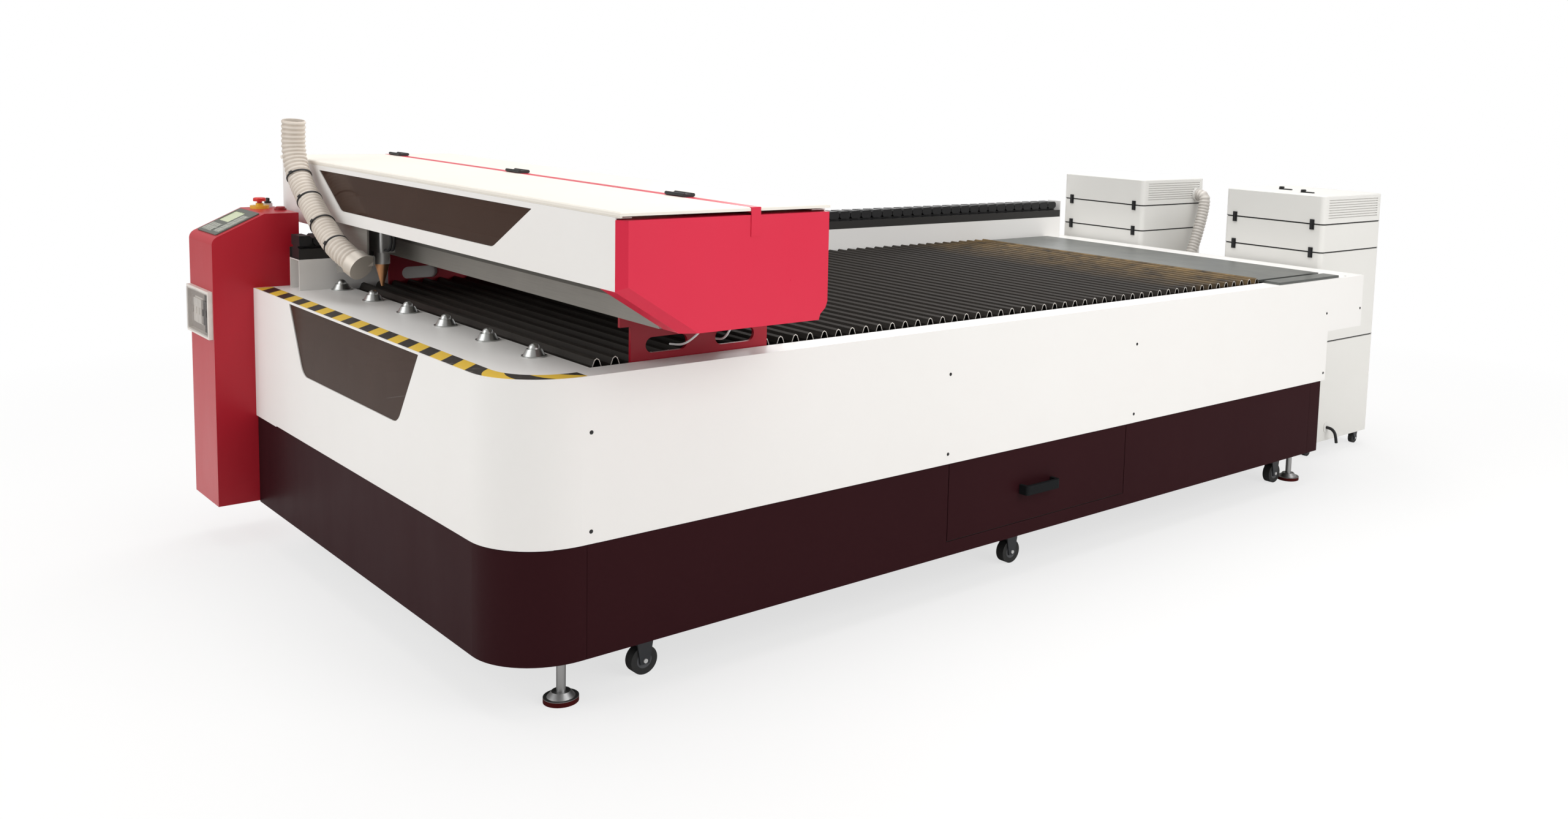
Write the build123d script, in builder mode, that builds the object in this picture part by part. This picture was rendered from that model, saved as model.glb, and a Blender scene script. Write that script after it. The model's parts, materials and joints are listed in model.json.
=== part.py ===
"""Flat-bed fiber laser cutting machine: bed, gantry, head, operator pedestal and two cabinets.

Millimetres, +Z up, floor at Z = 0. +X runs from the front of the bed to the cabinets and +Y from
the drawer side to the pedestal side. Sizes are written from the bed's front near corner at floor
level, and the work planes shift them so that the origin is the middle of the footprint.
"""
from build123d import *
from math import radians, sqrt, tan
import os

os.makedirs("parts", exist_ok=True)

# Bed
BED_W = 1850.0
BED_L = 3615.0
BED_TOP_L = 3900.0
WING_X = 3637.0
WING_Z = 651.0
DECK_Z = 872.0
DECK_T = 6.0
CLAD_Z = 443.0
SKIRT_Z = 142.0
CORNER_R = 200.0
CORNER_PANEL_X = 215.0
SHEET = 3.0
SEAM = 3.0
SKIRT_INSET = 4.0

# Window in the front of the bed
BED_WIN_TOP = (503.0, 1506.0)
BED_WIN_BOTTOM = (650.0, 1390.0)
BED_WIN_Z = 655.0
WIN_R = 60.0
GLASS_T = 5.0
GLASS_LAP = 20.0

# Work bay and slats
BAY_X = (268.0, 3710.0)
BAY_Y = (90.0, 1712.0)
SLAT_FIRST_X = 299.0
SLAT_PITCH = 52.8
SLAT_COUNT = 57
SLAT_W = 34.0
SLAT_H = 60.0
SLAT_T = 2.5
SLAT_RISE = 18.0
SLAT_END_GAP = 21.0
COMB_T = 6.0
COMB_TOOTH = 20.0
SLIP = 0.3
REAR_PLATE_X = (3272.0, 3716.0)
REAR_PLATE_T = 10.0
HOPPER_T = 4.0
HOPPER_LOW_Z = 450.0

# Ball transfer units
BALL_X = 223.0
BALL_FIRST_Y = 303.0
BALL_PITCH = 275.0
BALL_COUNT = 6
BALL_R = 15.0
BALL_CUP_R = 29.0
BALL_CUP_H = 20.0

# Frame under the panels
TUBE = 80.0
LOW_TUBE_W = 100.0
LOW_TUBE_H = 40.0
LOW_TUBE_Y = 60.0
FRAME_X = (170.0, 3600.0)
TOP_TUBE_Y = 12.0
TOP_TUBE_Z = 720.0
POST_X = (170.0, 1240.0, 2480.0, 3520.0)

# Guide rails and their carriages
RAIL_Y = (40.0, 66.0)
RAIL_H = 40.0
RAIL_X = (150.0, 3880.0)
BLOCK_L = 100.0
BLOCK_H = 52.0
BLOCK_RISE = 3.0

# Feet and casters
FOOT_X = (200.0, 3575.0)
FOOT_Y = 110.0
FOOT_R = 45.5
FOOT_H = 28.0
FOOT_STEM_R = 12.0
CASTER_X = (447.0, 1874.0, 3475.0)
CASTER_Y = 130.0
WHEEL_R = 40.0
WHEEL_W = 32.0
WHEEL_LIFT = 0.5
FORK_T = 5.0
AXLE_R = 6.0
RUN_FIT = 0.05

# Drawer
DRAWER_X = (1460.0, 2330.0)
DRAWER_Z = (188.0, 440.0)
DRAWER_DEPTH = 860.0
DRAWER_H = 190.0
DRAWER_GAP = 3.0
RUNNER_W = 24.0
HANDLE_W = 161.0
HANDLE_H = 31.0
HANDLE_D = 38.0
HANDLE_Z = 287.0
HANDLE_X = 1785.0
HANDLE_BAR = 12.0
HANDLE_R = 10.0

# Cable tray on the far side
TRAY_Y = (1712.0, 1800.0)
TRAY_Z = (975.0, 1010.0)
TRAY_X = (60.0, 3830.0)
TRAY_T = 2.0
CHAIN_TOP = 1055.0
LINK_PITCH = 62.0
LINK_H = 38.0
LINK_W = 76.0
LINK_GAP = 4.0

# Pedestal
PED_X = (-123.0, 147.0)
PED_Y = (1850.0, 2105.0)
PED_Z = 145.0
PED_FRONT_Z = 1039.0
PED_TOP_Z = 1118.0
PED_TOP_X = 40.0
PED_R = 30.0
PANEL_L = 150.0
PANEL_W = 205.0
PANEL_T = 4.0
ARM = 60.0
ARM_X = 110.0
ARM_Z = (300.0, 700.0)
ESTOP_XY = (85.0, 2050.0)
KEY_XY = (121.0, 2081.0)
BUTTON_XY = (126.0, 1966.0)
ESTOP_TRAVEL_GAP = 7.0
ESTOP_STEM_R = 8.0
BREAKER_Y = (1857.0, 2099.0)
BREAKER_Z = (708.0, 866.0)
BREAKER_D = 14.0
BREAKER_RIM = 12.0
BREAKER_DOOR_T = 3.0

# Gantry
GAN_X = (183.0, 800.0)
GAN_Y = (-203.0, 2135.0)
CAP_TOP = 1277.0
CAP_FOLD = 96.0
CAP_CHAMFER = 22.0
LIP_Z = 1108.0
LOBE_Z = 1075.0
REAR_LIP_Z = 1030.0
LOBE_Y = 1705.0
CAP_LOW = 992.0
CAP_LOW_X = 359.0
COVER_TOP = 1283.0
LID_Z = (1287.0, 1297.0)
STRIP_X = (549.0, 578.0)
TAB_T = 2.0
TAB_H = 60.0
HINGE_Y = (148.0, 1096.0, 2044.0)
HINGE_L = 90.0
HINGE_R = 5.0
HINGE_Z = 1303.0
GAN_WIN_TOP = (236.0, 1755.0)
GAN_WIN_BOTTOM = (460.0, 1560.0)
GAN_WIN_Z = (1147.0, 1268.0)
BEAM_X = (356.0, 720.0)
BEAM_Z = (1065.0, 1240.0)
BEAM_R = 18.0
BEAM_FACE_T = 3.0
BEAM_FACE_LOW = 994.0
BRACKET_X = (388.0, 820.0)
BRACKET_TOP_X = 356.0
BRACKET_STEP_Z = 965.0
BRACKET_T = 10.0
BRACKET_GAP = 6.0
BRACKET_SLOT = (128.0, 42.0)
BRACKET_SLOT_X = (496.0, 712.0)
BRACKET_SLOT_Z = 911.0

# Cutting head
HEAD_XY = (265.0, 1435.0)
HEAD_W = 100.0
HEAD_D = 50.0
HEAD_Z = (985.0, 1200.0)
NOZZLE_Z = 912.0
NOZZLE_R = (22.0, 4.0)
CARRIAGE_X = (300.0, 339.0)
CARRIAGE_Z = (1080.0, 1232.0)
CARRIAGE_W = 190.0
Y_RAIL = (14.0, 10.0)
Y_RAIL_Z = (1118.0, 1196.0)
ARM_PLATE_X = 205.0
ARM_PLATE_T = 6.0

# Suction hose: centre line points from the free top end down to the socket on the head
HOSE_R = 38.0
HOSE = [
    (130, 1828, 1430),
    (130, 1836, 1372),
    (130, 1830, 1316),
    (130, 1805, 1267),
    (130, 1763, 1221),
    (130, 1643, 1141),
    (130, 1499, 1063),
    (136, 1428, 1030),
    (156, 1376, 1003),
]
SOCKET_L = 36.0
SOCKET_R = 43.0
CLAMP_SPOTS = [(3, 0.5), (4, 0.45), (5, 0.12), (5, 0.62)]
CLAMP_W = 5.0
CLAMP_T = 2.0

# Cabinets
CAB_X = 3928.0
CAB_L = 500.0
CAB_W = 526.0
CAB_Z = (68.0, 1194.0)
CAB_Y = {"right": 230.0, "left": 1249.0}
CAB_R = 22.0
CAB_SEAMS = (529.0, 938.0, 1064.0)
CAB_SEAM_H = 4.0
LOUVRES = 8
LOUVRE_Z = 1094.0
LOUVRE_PITCH = 11.3
LOUVRE_H = 4.0
LATCH_INSET = 57.0
LATCH_H = 46.0
LATCH_W = 22.0
LATCH_D = 9.0
CAB_WHEEL_R = 24.0
CAB_WHEEL_W = 20.0
CAB_CASTER_INSET = 46.0
DUCT_R = 30.0
DUCT = [
    (4362, 1237, 1112),
    (4362, 1178, 1112),
    (4348, 1146, 1075),
    (4318, 1140, 1010),
    (4275, 1146, 900),
    (4235, 1152, 800),
    (4190, 1160, 700),
    (4130, 1170, 628),
    (4050, 1180, 588),
    (3950, 1190, 570),
    (3850, 1196, 563),
    (3765, 1200, 561),
    (3712, 1201, 560),
    (3661, 1201, 560),
]
SPIGOT_R = 34.0
SPIGOT_L = 24.0
CABLE_R = 7.0
CABLE_XZ = (4061.0, 129.0)
GROMMET_R = 24.0
CABLE = [
    (4061, 227, 129),
    (4061, 205, 129),
    (4062, 186, 116),
    (4064, 178, 92),
    (4067, 176, 66),
]

MID_X = (PED_X[0] - BREAKER_D - BREAKER_DOOR_T + CAB_X + CAB_L) / 2
MID_Y = (GAN_Y[0] + GAN_Y[1]) / 2
BAY_MID_Y = (BAY_Y[0] + BAY_Y[1]) / 2
RAIL_BASE_Z = TOP_TUBE_Z + TUBE
SLAT_Z = DECK_Z + SLAT_RISE - SLAT_H


def level(z):
    """Horizontal work plane at height z."""
    return Plane((-MID_X, -MID_Y, z))


def across(x):
    """Upright work plane at x: its own axes are Y and Z, and it faces +X."""
    return Plane(origin=(x - MID_X, -MID_Y, 0), x_dir=(0, 1, 0), z_dir=(1, 0, 0))


def along(y):
    """Upright work plane at y: its own axes are X and Z, and it faces -Y."""
    return Plane(origin=(-MID_X, y - MID_Y, 0), x_dir=(1, 0, 0), z_dir=(0, -1, 0))


def place(point):
    """A point of the bed's own corner frame in the model frame."""
    return Vector(point[0] - MID_X, point[1] - MID_Y, point[2])


def rect(u0, u1, v0, v1, mode=Mode.ADD):
    """Rectangle between two corners of the sketch in progress."""
    with Locations(((u0 + u1) / 2, (v0 + v1) / 2)):
        Rectangle(u1 - u0, v1 - v0, mode=mode)


def block(x, y, z, mode=Mode.ADD):
    """Block between the limits of three pairs, in the part in progress."""
    with BuildSketch(level(z[0])) as base:
        rect(x[0], x[1], y[0], y[1])
    extrude(base.sketch, amount=z[1] - z[0], mode=mode)


def far(y):
    """The mirror place on the far side of the work bay."""
    return 2 * BAY_MID_Y - y


def pair(y0, y1):
    """The near span and its mirror on the far side of the work bay."""
    return ((y0, y1), (far(y1), far(y0)))


def bed_outline(inset, x_end):
    """Plan outline of the bed with its two round front corners."""
    rect(inset, x_end, inset, BED_W - inset)
    corners = sketch_corners(inset)
    fillet(corners, CORNER_R - inset)


def sketch_corners(inset):
    """The two front corners of the plan outline in progress."""
    vertices = BuildSketch._get_context().vertices()
    return [v for v in vertices if abs(v.X - inset) < 0.01]


def trapezoid(top, bottom, z_top, z_bottom, radius):
    """Window outline: straight top, sides leaning inwards, round lower corners."""
    with BuildLine() as outline:
        Polyline(
            (top[0], z_top),
            (bottom[0], z_bottom),
            (bottom[1], z_bottom),
            (top[1], z_top),
            close=True,
        )
    make_face(outline.edges())
    low = BuildSketch._get_context().vertices().sort_by(Axis.Y)[:2]
    fillet(low, radius)


def save(builder, label):
    """Label the finished piece and write it."""
    builder.part.label = label
    export_step(builder.part, f"parts/{label}.step")


# Base frame: rectangular tubes, with runners for the drawer
CROSS_X = (FRAME_X[0], 1240.0, 2480.0, FRAME_X[1] - TUBE)
LOW_Z = (SKIRT_Z, SKIRT_Z + LOW_TUBE_H)
DRAWER_FLOOR_Z = LOW_Z[1] + 18.0
BACK_TUBE_Y = 880.0
with BuildPart() as base_frame:
    for y0 in (LOW_TUBE_Y, BED_W - LOW_TUBE_Y - LOW_TUBE_W):
        block(FRAME_X, (y0, y0 + LOW_TUBE_W), LOW_Z)
    for x0 in CROSS_X:
        block((x0, x0 + TUBE), (LOW_TUBE_Y, BED_W - LOW_TUBE_Y), LOW_Z)
    block((CROSS_X[1], CROSS_X[2]), (BACK_TUBE_Y, BACK_TUBE_Y + TUBE), LOW_Z)
    for span in pair(TOP_TUBE_Y, TOP_TUBE_Y + TUBE):
        block((FRAME_X[0], RAIL_X[1]), span, (TOP_TUBE_Z, RAIL_BASE_Z))
        for x0 in POST_X:
            block((x0, x0 + TUBE), span, (SKIRT_Z, TOP_TUBE_Z))
    for x0 in (DRAWER_X[0] + 30, DRAWER_X[1] - 30 - RUNNER_W):
        block((x0, x0 + RUNNER_W), (LOW_TUBE_Y, BACK_TUBE_Y + TUBE), (LOW_Z[1], DRAWER_FLOOR_Z - SLIP))
    for x0 in (FRAME_X[0], RAIL_X[1] - TUBE):
        block((x0, x0 + TUBE), (TOP_TUBE_Y, far(TOP_TUBE_Y)), (TOP_TUBE_Z, TOP_TUBE_Z + LOW_TUBE_H))
    for x in (POST_X[0] + TUBE / 2, POST_X[3] + TUBE / 2):
        for span in pair(TOP_TUBE_Y, TOP_TUBE_Y + 20):
            block((x - 20, x + 20), span, (RAIL_BASE_Z, DECK_Z - DECK_T))
    skirt_face = SKIRT_INSET + SHEET
    for x0 in POST_X:
        block((max(x0, CORNER_R), x0 + TUBE), (skirt_face, LOW_TUBE_Y), LOW_Z)
        block((max(x0, CORNER_R), x0 + TUBE), (BED_W - LOW_TUBE_Y, BED_W - skirt_face), LOW_Z)
    for span in ((skirt_face, FRAME_X[0]), (FRAME_X[1], BED_L - skirt_face)):
        block(span, (BED_W / 2 - ARM / 2, BED_W / 2 + ARM / 2), LOW_Z)
save(base_frame, "base_frame")

# Front cladding with its two round corners and the window opening
with BuildPart() as front_cladding:
    with BuildSketch(level(CLAD_Z)):
        bed_outline(0, CORNER_PANEL_X + CORNER_R)
        with BuildSketch(mode=Mode.SUBTRACT):
            rect(SHEET, 3 * CORNER_R, SHEET, BED_W - SHEET)
            fillet(sketch_corners(SHEET), CORNER_R - SHEET)
        rect(CORNER_PANEL_X, 3 * CORNER_R, -SHEET, BED_W + SHEET, mode=Mode.SUBTRACT)
    extrude(amount=DECK_Z - DECK_T - CLAD_Z)
    with BuildSketch(across(-SHEET)):
        trapezoid(BED_WIN_TOP, BED_WIN_BOTTOM, DECK_Z, BED_WIN_Z, WIN_R)
    extrude(amount=4 * SHEET, mode=Mode.SUBTRACT)
    block(
        (ARM_X - 1, ARM_X + ARM + 1),
        (BED_W - CORNER_R, BED_W + SHEET),
        (ARM_Z[1] - 1, ARM_Z[1] + ARM + 1),
        mode=Mode.SUBTRACT,
    )
save(front_cladding, "front_cladding")


def side_cladding_outline():
    """Side panel with the raised rear overhang."""
    with BuildLine() as outline:
        Polyline(
            (CORNER_PANEL_X, CLAD_Z),
            (WING_X, CLAD_Z),
            (WING_X, WING_Z),
            (BED_TOP_L, WING_Z),
            (BED_TOP_L, DECK_Z - DECK_T),
            (CORNER_PANEL_X, DECK_Z - DECK_T),
            close=True,
        )
    make_face(outline.edges())


with BuildPart() as near_side_cladding:
    with BuildSketch(along(0)):
        side_cladding_outline()
    extrude(amount=-SHEET)
save(near_side_cladding, "near_side_cladding")

with BuildPart() as far_side_cladding:
    with BuildSketch(along(BED_W - SHEET)):
        side_cladding_outline()
    extrude(amount=-SHEET)
save(far_side_cladding, "far_side_cladding")

# Rear cladding: one folded sheet that steps out under the overhang
with BuildPart() as rear_cladding:
    with BuildSketch(along(SHEET)):
        with BuildLine():
            Polyline(
                (WING_X - SHEET, CLAD_Z),
                (WING_X, CLAD_Z),
                (WING_X, WING_Z),
                (BED_TOP_L, WING_Z),
                (BED_TOP_L, DECK_Z - DECK_T),
                (BED_TOP_L - SHEET, DECK_Z - DECK_T),
                (BED_TOP_L - SHEET, WING_Z + SHEET),
                (WING_X - SHEET, WING_Z + SHEET),
                close=True,
            )
        make_face()
    extrude(amount=-(BED_W - 2 * SHEET))
    with BuildSketch(across(WING_X)):
        with Locations((DUCT[-1][1], DUCT[-1][2])):
            Circle(SPIGOT_R)
    extrude(amount=SPIGOT_L)
save(rear_cladding, "rear_cladding")

# Skirt: dark panels set back below the cladding, with the drawer opening
with BuildPart() as skirt_panels:
    with BuildSketch(level(SKIRT_Z)):
        bed_outline(SKIRT_INSET, BED_L - SKIRT_INSET)
        with BuildSketch(mode=Mode.SUBTRACT):
            inner = SKIRT_INSET + SHEET
            rect(inner, BED_L - inner, inner, BED_W - inner)
            fillet(sketch_corners(inner), CORNER_R - inner)
    extrude(amount=CLAD_Z - SEAM - SKIRT_Z)
    block(
        DRAWER_X,
        (-SHEET, CORNER_R / 2),
        (DRAWER_Z[0], CLAD_Z),
        mode=Mode.SUBTRACT,
    )
    for x in (CORNER_PANEL_X, BED_L - TUBE):
        block((x - 0.5, x + 0.5), (-SHEET, BED_W + SHEET), (SKIRT_Z, CLAD_Z), mode=Mode.SUBTRACT)
    block(
        (ARM_X - 1, ARM_X + ARM + 1),
        (BED_W - CORNER_R, BED_W + SHEET),
        (ARM_Z[0] - 1, ARM_Z[0] + ARM + 1),
        mode=Mode.SUBTRACT,
    )
save(skirt_panels, "skirt_panels")

# Top deck: one plate round the work bay
with BuildPart() as top_deck:
    with BuildSketch(level(DECK_Z - DECK_T)):
        bed_outline(0, BED_TOP_L)
        rect(BAY_X[0], BAY_X[1], BAY_Y[0], BAY_Y[1], mode=Mode.SUBTRACT)
    extrude(amount=DECK_T)
save(top_deck, "top_deck")

# Slats: hollow ridged sections that lie across the bay
SLAT_Y = (BAY_Y[0] + SLAT_END_GAP, BAY_Y[1] - SLAT_END_GAP)
SLAT_LAST_X = SLAT_FIRST_X + SLAT_PITCH * (SLAT_COUNT - 1)
SLAT_MID_X = (SLAT_FIRST_X + SLAT_LAST_X) / 2


def slat_outline(half, height, mode=Mode.ADD):
    """Half widths of the ridged section at a few heights, mirrored about its middle."""
    side = [(half, 0), (half * 0.76, height * 0.67), (half * 0.4, height * 0.93), (0, height)]
    ring = side + [(-u, v) for u, v in reversed(side[:-1])]
    with BuildLine() as outline:
        Polyline(*ring, close=True)
    make_face(outline.edges(), mode=mode)


with BuildSketch() as slat_section:
    slat_outline(SLAT_W / 2, SLAT_H)
    slat_outline(SLAT_W / 2 - SLAT_T, SLAT_H - SLAT_T, mode=Mode.SUBTRACT)
with BuildPart() as slats:
    with BuildSketch(along(SLAT_Y[0])):
        with Locations((SLAT_MID_X, SLAT_Z)):
            with GridLocations(SLAT_PITCH, 0, SLAT_COUNT, 1):
                add(slat_section.sketch)
    extrude(amount=-(SLAT_Y[1] - SLAT_Y[0]))
save(slats, "slats")

# Notched combs that carry the slats, and the hopper plates that lead scrap to the drawer
with BuildPart() as slat_supports:
    for y in (SLAT_Y[0] + 1, SLAT_Y[1] - 1 - COMB_T):
        with BuildSketch(along(y)):
            with BuildLine():
                Polyline(
                    (BAY_X[0] + 4, SLAT_Z + COMB_TOOTH),
                    (BAY_X[0] + 4, SLAT_Z - 40),
                    (DRAWER_X[0] + 10, HOPPER_LOW_Z),
                    (DRAWER_X[1] - 10, HOPPER_LOW_Z),
                    (REAR_PLATE_X[0] + 40, SLAT_Z - 40),
                    (REAR_PLATE_X[0] + 40, SLAT_Z + COMB_TOOTH),
                    close=True,
                )
            make_face()
            with Locations((SLAT_MID_X, SLAT_Z + COMB_TOOTH / 2)):
                with GridLocations(SLAT_PITCH, 0, SLAT_COUNT, 1):
                    Rectangle(SLAT_W + 2 * SLIP, COMB_TOOTH, mode=Mode.SUBTRACT)
        extrude(amount=-COMB_T)
    for x_top, x_low, side in (
        (BAY_X[0] + 4, DRAWER_X[0] + 10, 1),
        (REAR_PLATE_X[0] + 40, DRAWER_X[1] - 10, -1),
    ):
        with BuildSketch(along(SLAT_Y[0] + 1 + COMB_T)):
            with BuildLine():
                Polyline(
                    (x_top, SLAT_Z - 2),
                    (x_top, SLAT_Z - 40),
                    (x_low, HOPPER_LOW_Z),
                    (x_low + side * HOPPER_T, HOPPER_LOW_Z),
                    (x_low + side * HOPPER_T, HOPPER_LOW_Z + HOPPER_T),
                    (x_top + side * HOPPER_T, SLAT_Z - 40 + HOPPER_T),
                    (x_top + side * HOPPER_T, SLAT_Z - 2),
                    close=True,
                )
            make_face()
        extrude(amount=-(SLAT_Y[1] - SLAT_Y[0] - 2 - 2 * COMB_T))
    for y0 in (TOP_TUBE_Y + TUBE, SLAT_Y[1] - 1):
        for x0 in (POST_X[0] + 160, POST_X[3] - 240):
            y1 = SLAT_Y[0] + 1 if y0 < BAY_MID_Y else far(TOP_TUBE_Y + TUBE)
            block((x0, x0 + TUBE), (y0, y1), (TOP_TUBE_Z + 10, RAIL_BASE_Z - 30))
save(slat_supports, "slat_supports")

# Sheet plate at the rear of the bay, bridging from the last slat to the rear rim
with BuildPart() as rear_plate:
    with BuildSketch(level(DECK_Z)):
        rect(REAR_PLATE_X[0], REAR_PLATE_X[1], SLAT_Y[0], SLAT_Y[1])
    extrude(amount=REAR_PLATE_T)
    block(
        (REAR_PLATE_X[0] + 20, REAR_PLATE_X[0] + 34),
        (SLAT_Y[0], SLAT_Y[1]),
        (SLAT_Z + COMB_TOOTH, DECK_Z),
    )
save(rear_plate, "rear_plate")

# Ball transfer units on the front deck
with BuildPart() as ball_units:
    ball_places = [(BALL_X, BALL_FIRST_Y + BALL_PITCH * i) for i in range(BALL_COUNT)]
    with BuildSketch(level(DECK_Z)):
        with Locations(*ball_places):
            Circle(BALL_CUP_R + 4)
    extrude(amount=3)
    with BuildSketch(level(DECK_Z + 3)):
        with Locations(*ball_places):
            Circle(BALL_CUP_R)
    extrude(amount=BALL_CUP_H - 3, taper=28)
    with Locations(*[place((x, y, DECK_Z + BALL_CUP_H)) for x, y in ball_places]):
        Sphere(BALL_R)
save(ball_units, "ball_units")

# Smoked pane behind the front opening
with BuildPart() as bed_window:
    with BuildSketch(across(SHEET)):
        rect(
            BED_WIN_TOP[0] - GLASS_LAP,
            BED_WIN_TOP[1] + GLASS_LAP,
            BED_WIN_Z - GLASS_LAP,
            DECK_Z - DECK_T - 1,
        )
    extrude(amount=GLASS_T)
save(bed_window, "bed_window")

# What stands behind the front pane: a post with a junction box
with BuildPart() as window_fittings:
    block((60, FRAME_X[0]), (980, 1020), (TOP_TUBE_Z + 4, TOP_TUBE_Z + LOW_TUBE_H - 4))
    block((60, 100), (980, 1020), (520, TOP_TUBE_Z + LOW_TUBE_H - 4))
    with BuildSketch(across(30)):
        with Locations((1000, 690)):
            RectangleRounded(150, 100, 8)
    extrude(amount=30)
save(window_fittings, "window_fittings")

# Linear rails along both sides of the bay
with BuildPart() as guide_rails:
    for y0, y1 in pair(*RAIL_Y):
        with BuildSketch(across(RAIL_X[0])):
            rect(y0, y1, RAIL_BASE_Z, RAIL_BASE_Z + RAIL_H)
            with Locations((y0, RAIL_BASE_Z + RAIL_H * 0.45), (y1, RAIL_BASE_Z + RAIL_H * 0.45)):
                RegularPolygon(5, 4, mode=Mode.SUBTRACT)
        extrude(amount=RAIL_X[1] - RAIL_X[0])
save(guide_rails, "guide_rails")

# Cover of the far rail, with the upright end plate of the cable tray
with BuildPart() as rail_cover:
    with BuildSketch(across(TRAY_X[0])):
        rect(TRAY_Y[0], TRAY_Y[1], DECK_Z, TRAY_Z[0])
        rect(TRAY_Y[0] + SHEET, TRAY_Y[1] - SHEET, DECK_Z - 1, TRAY_Z[0] - SHEET, mode=Mode.SUBTRACT)
    extrude(amount=TRAY_X[1] - TRAY_X[0])
    block((TRAY_X[1], TRAY_X[1] + SHEET), TRAY_Y, (DECK_Z, CHAIN_TOP))
save(rail_cover, "rail_cover")

with BuildPart() as cable_tray:
    with BuildSketch(across(TRAY_X[0])):
        rect(TRAY_Y[0], TRAY_Y[1], TRAY_Z[0], TRAY_Z[1])
        rect(TRAY_Y[0] + TRAY_T, TRAY_Y[1] - TRAY_T, TRAY_Z[0] + TRAY_T, TRAY_Z[1] + 1, mode=Mode.SUBTRACT)
    extrude(amount=TRAY_X[1] - TRAY_X[0])
save(cable_tray, "cable_tray")

# Cable chain: a lower run in the tray and an upper run above it
CHAIN_X = (TRAY_X[0] + 6, TRAY_X[1] - 6)
LINK_COUNT = int((CHAIN_X[1] - CHAIN_X[0]) / LINK_PITCH)
CHAIN_MID_X = (CHAIN_X[0] + CHAIN_X[1]) / 2
LINK_PLACES_Z = (TRAY_Z[0] + TRAY_T + (LINK_H - LINK_GAP) / 2, CHAIN_TOP - LINK_H / 2)
with BuildSketch() as link_section:
    Rectangle(LINK_PITCH - LINK_GAP, LINK_H - LINK_GAP)
    chamfer(link_section.vertices(), 9)
with BuildPart() as cable_chain:
    with BuildSketch(along((TRAY_Y[0] + TRAY_Y[1] - LINK_W) / 2)):
        with Locations(*[(CHAIN_MID_X, z) for z in LINK_PLACES_Z]):
            with GridLocations(LINK_PITCH, 0, LINK_COUNT, 1):
                add(link_section.sketch)
    extrude(amount=-LINK_W)
    web_z = (LINK_PLACES_Z[0] - 5, LINK_PLACES_Z[1] + 5)
    block((CHAIN_X[0] + 20, CHAIN_X[1] - 20), (TRAY_Y[0] + 20, TRAY_Y[1] - 20), web_z)
save(cable_chain, "cable_chain")

# Levelling feet
with BuildPart() as levelling_feet:
    foot_places = [(x, y) for x in FOOT_X for y in (FOOT_Y, BED_W - FOOT_Y)]
    with BuildSketch(level(0)):
        with Locations(*foot_places):
            Circle(FOOT_R)
    extrude(amount=FOOT_H * 0.5)
    with BuildSketch(level(FOOT_H * 0.5)):
        with Locations(*foot_places):
            Circle(FOOT_R * 0.8)
    extrude(amount=FOOT_H * 0.5, taper=40)
    with BuildSketch(level(FOOT_H)):
        with Locations(*foot_places):
            Circle(FOOT_STEM_R)
    extrude(amount=SKIRT_Z - FOOT_H)
    with BuildSketch(level(SKIRT_Z - 16)):
        with Locations(*foot_places):
            RegularPolygon(FOOT_STEM_R * 1.9, 6)
    extrude(amount=16)
save(levelling_feet, "levelling_feet")


def wheel_solid(x, y, z, radius, width):
    """Caster wheel with a small crown and its axle, standing on the XZ plane at y."""
    with BuildSketch(along(y - width / 2)) as tread:
        with Locations((x, z)):
            Circle(radius)
    extrude(tread.sketch, amount=-width)
    with BuildSketch(along(y - width / 2 - FORK_T - 4)) as axle:
        with Locations((x, z)):
            Circle(AXLE_R)
    extrude(axle.sketch, amount=-(width + 2 * FORK_T + 8))


def fork_solid(x, y, z, radius, width, top):
    """Two cheeks under a top plate, bored for the axle."""
    with BuildSketch(along(y + width / 2 + SLIP + FORK_T)) as cheek:
        with BuildLine():
            Polyline(
                (x - radius * 0.35, z - AXLE_R * 1.6),
                (x + radius * 0.35, z - AXLE_R * 1.6),
                (x + radius * 0.8, top),
                (x - radius * 0.8, top),
                close=True,
            )
        make_face()
    extrude(cheek.sketch, amount=width + 2 * SLIP + 2 * FORK_T)
    block(
        (x - radius * 1.2, x + radius * 1.2),
        (y - width / 2 - SLIP, y + width / 2 + SLIP),
        (0, z + radius + 4),
        mode=Mode.SUBTRACT,
    )
    with BuildSketch(along(y - width)) as bore:
        with Locations((x, z)):
            Circle(AXLE_R + RUN_FIT)
    extrude(bore.sketch, amount=-2 * width, mode=Mode.SUBTRACT)


# Casters: rigid forks under the bed and the cabinets, and one body for each pair of wheels
cab_caster_x = (CAB_X + CAB_CASTER_INSET, CAB_X + CAB_L - CAB_CASTER_INSET)
BED_CASTER_ZC = WHEEL_R + WHEEL_LIFT
BED_CASTER_YS = (CASTER_Y, BED_W - CASTER_Y)
CAB_CASTER_ZC = CAB_WHEEL_R
with BuildPart() as caster_forks:
    for x in CASTER_X:
        for y in BED_CASTER_YS:
            fork_solid(x, y, BED_CASTER_ZC, WHEEL_R, WHEEL_W, SKIRT_Z)
    for y0 in CAB_Y.values():
        for x in cab_caster_x:
            for y in (y0 + CAB_CASTER_INSET, y0 + CAB_W - CAB_CASTER_INSET):
                fork_solid(x, y, CAB_CASTER_ZC, CAB_WHEEL_R, CAB_WHEEL_W, CAB_Z[0])
save(caster_forks, "caster_forks")

for number, x in enumerate(CASTER_X, start=1):
    with BuildPart() as bed_wheels:
        for y in BED_CASTER_YS:
            wheel_solid(x, y, BED_CASTER_ZC, WHEEL_R, WHEEL_W)
    save(bed_wheels, f"bed_wheels_{number}")

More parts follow.
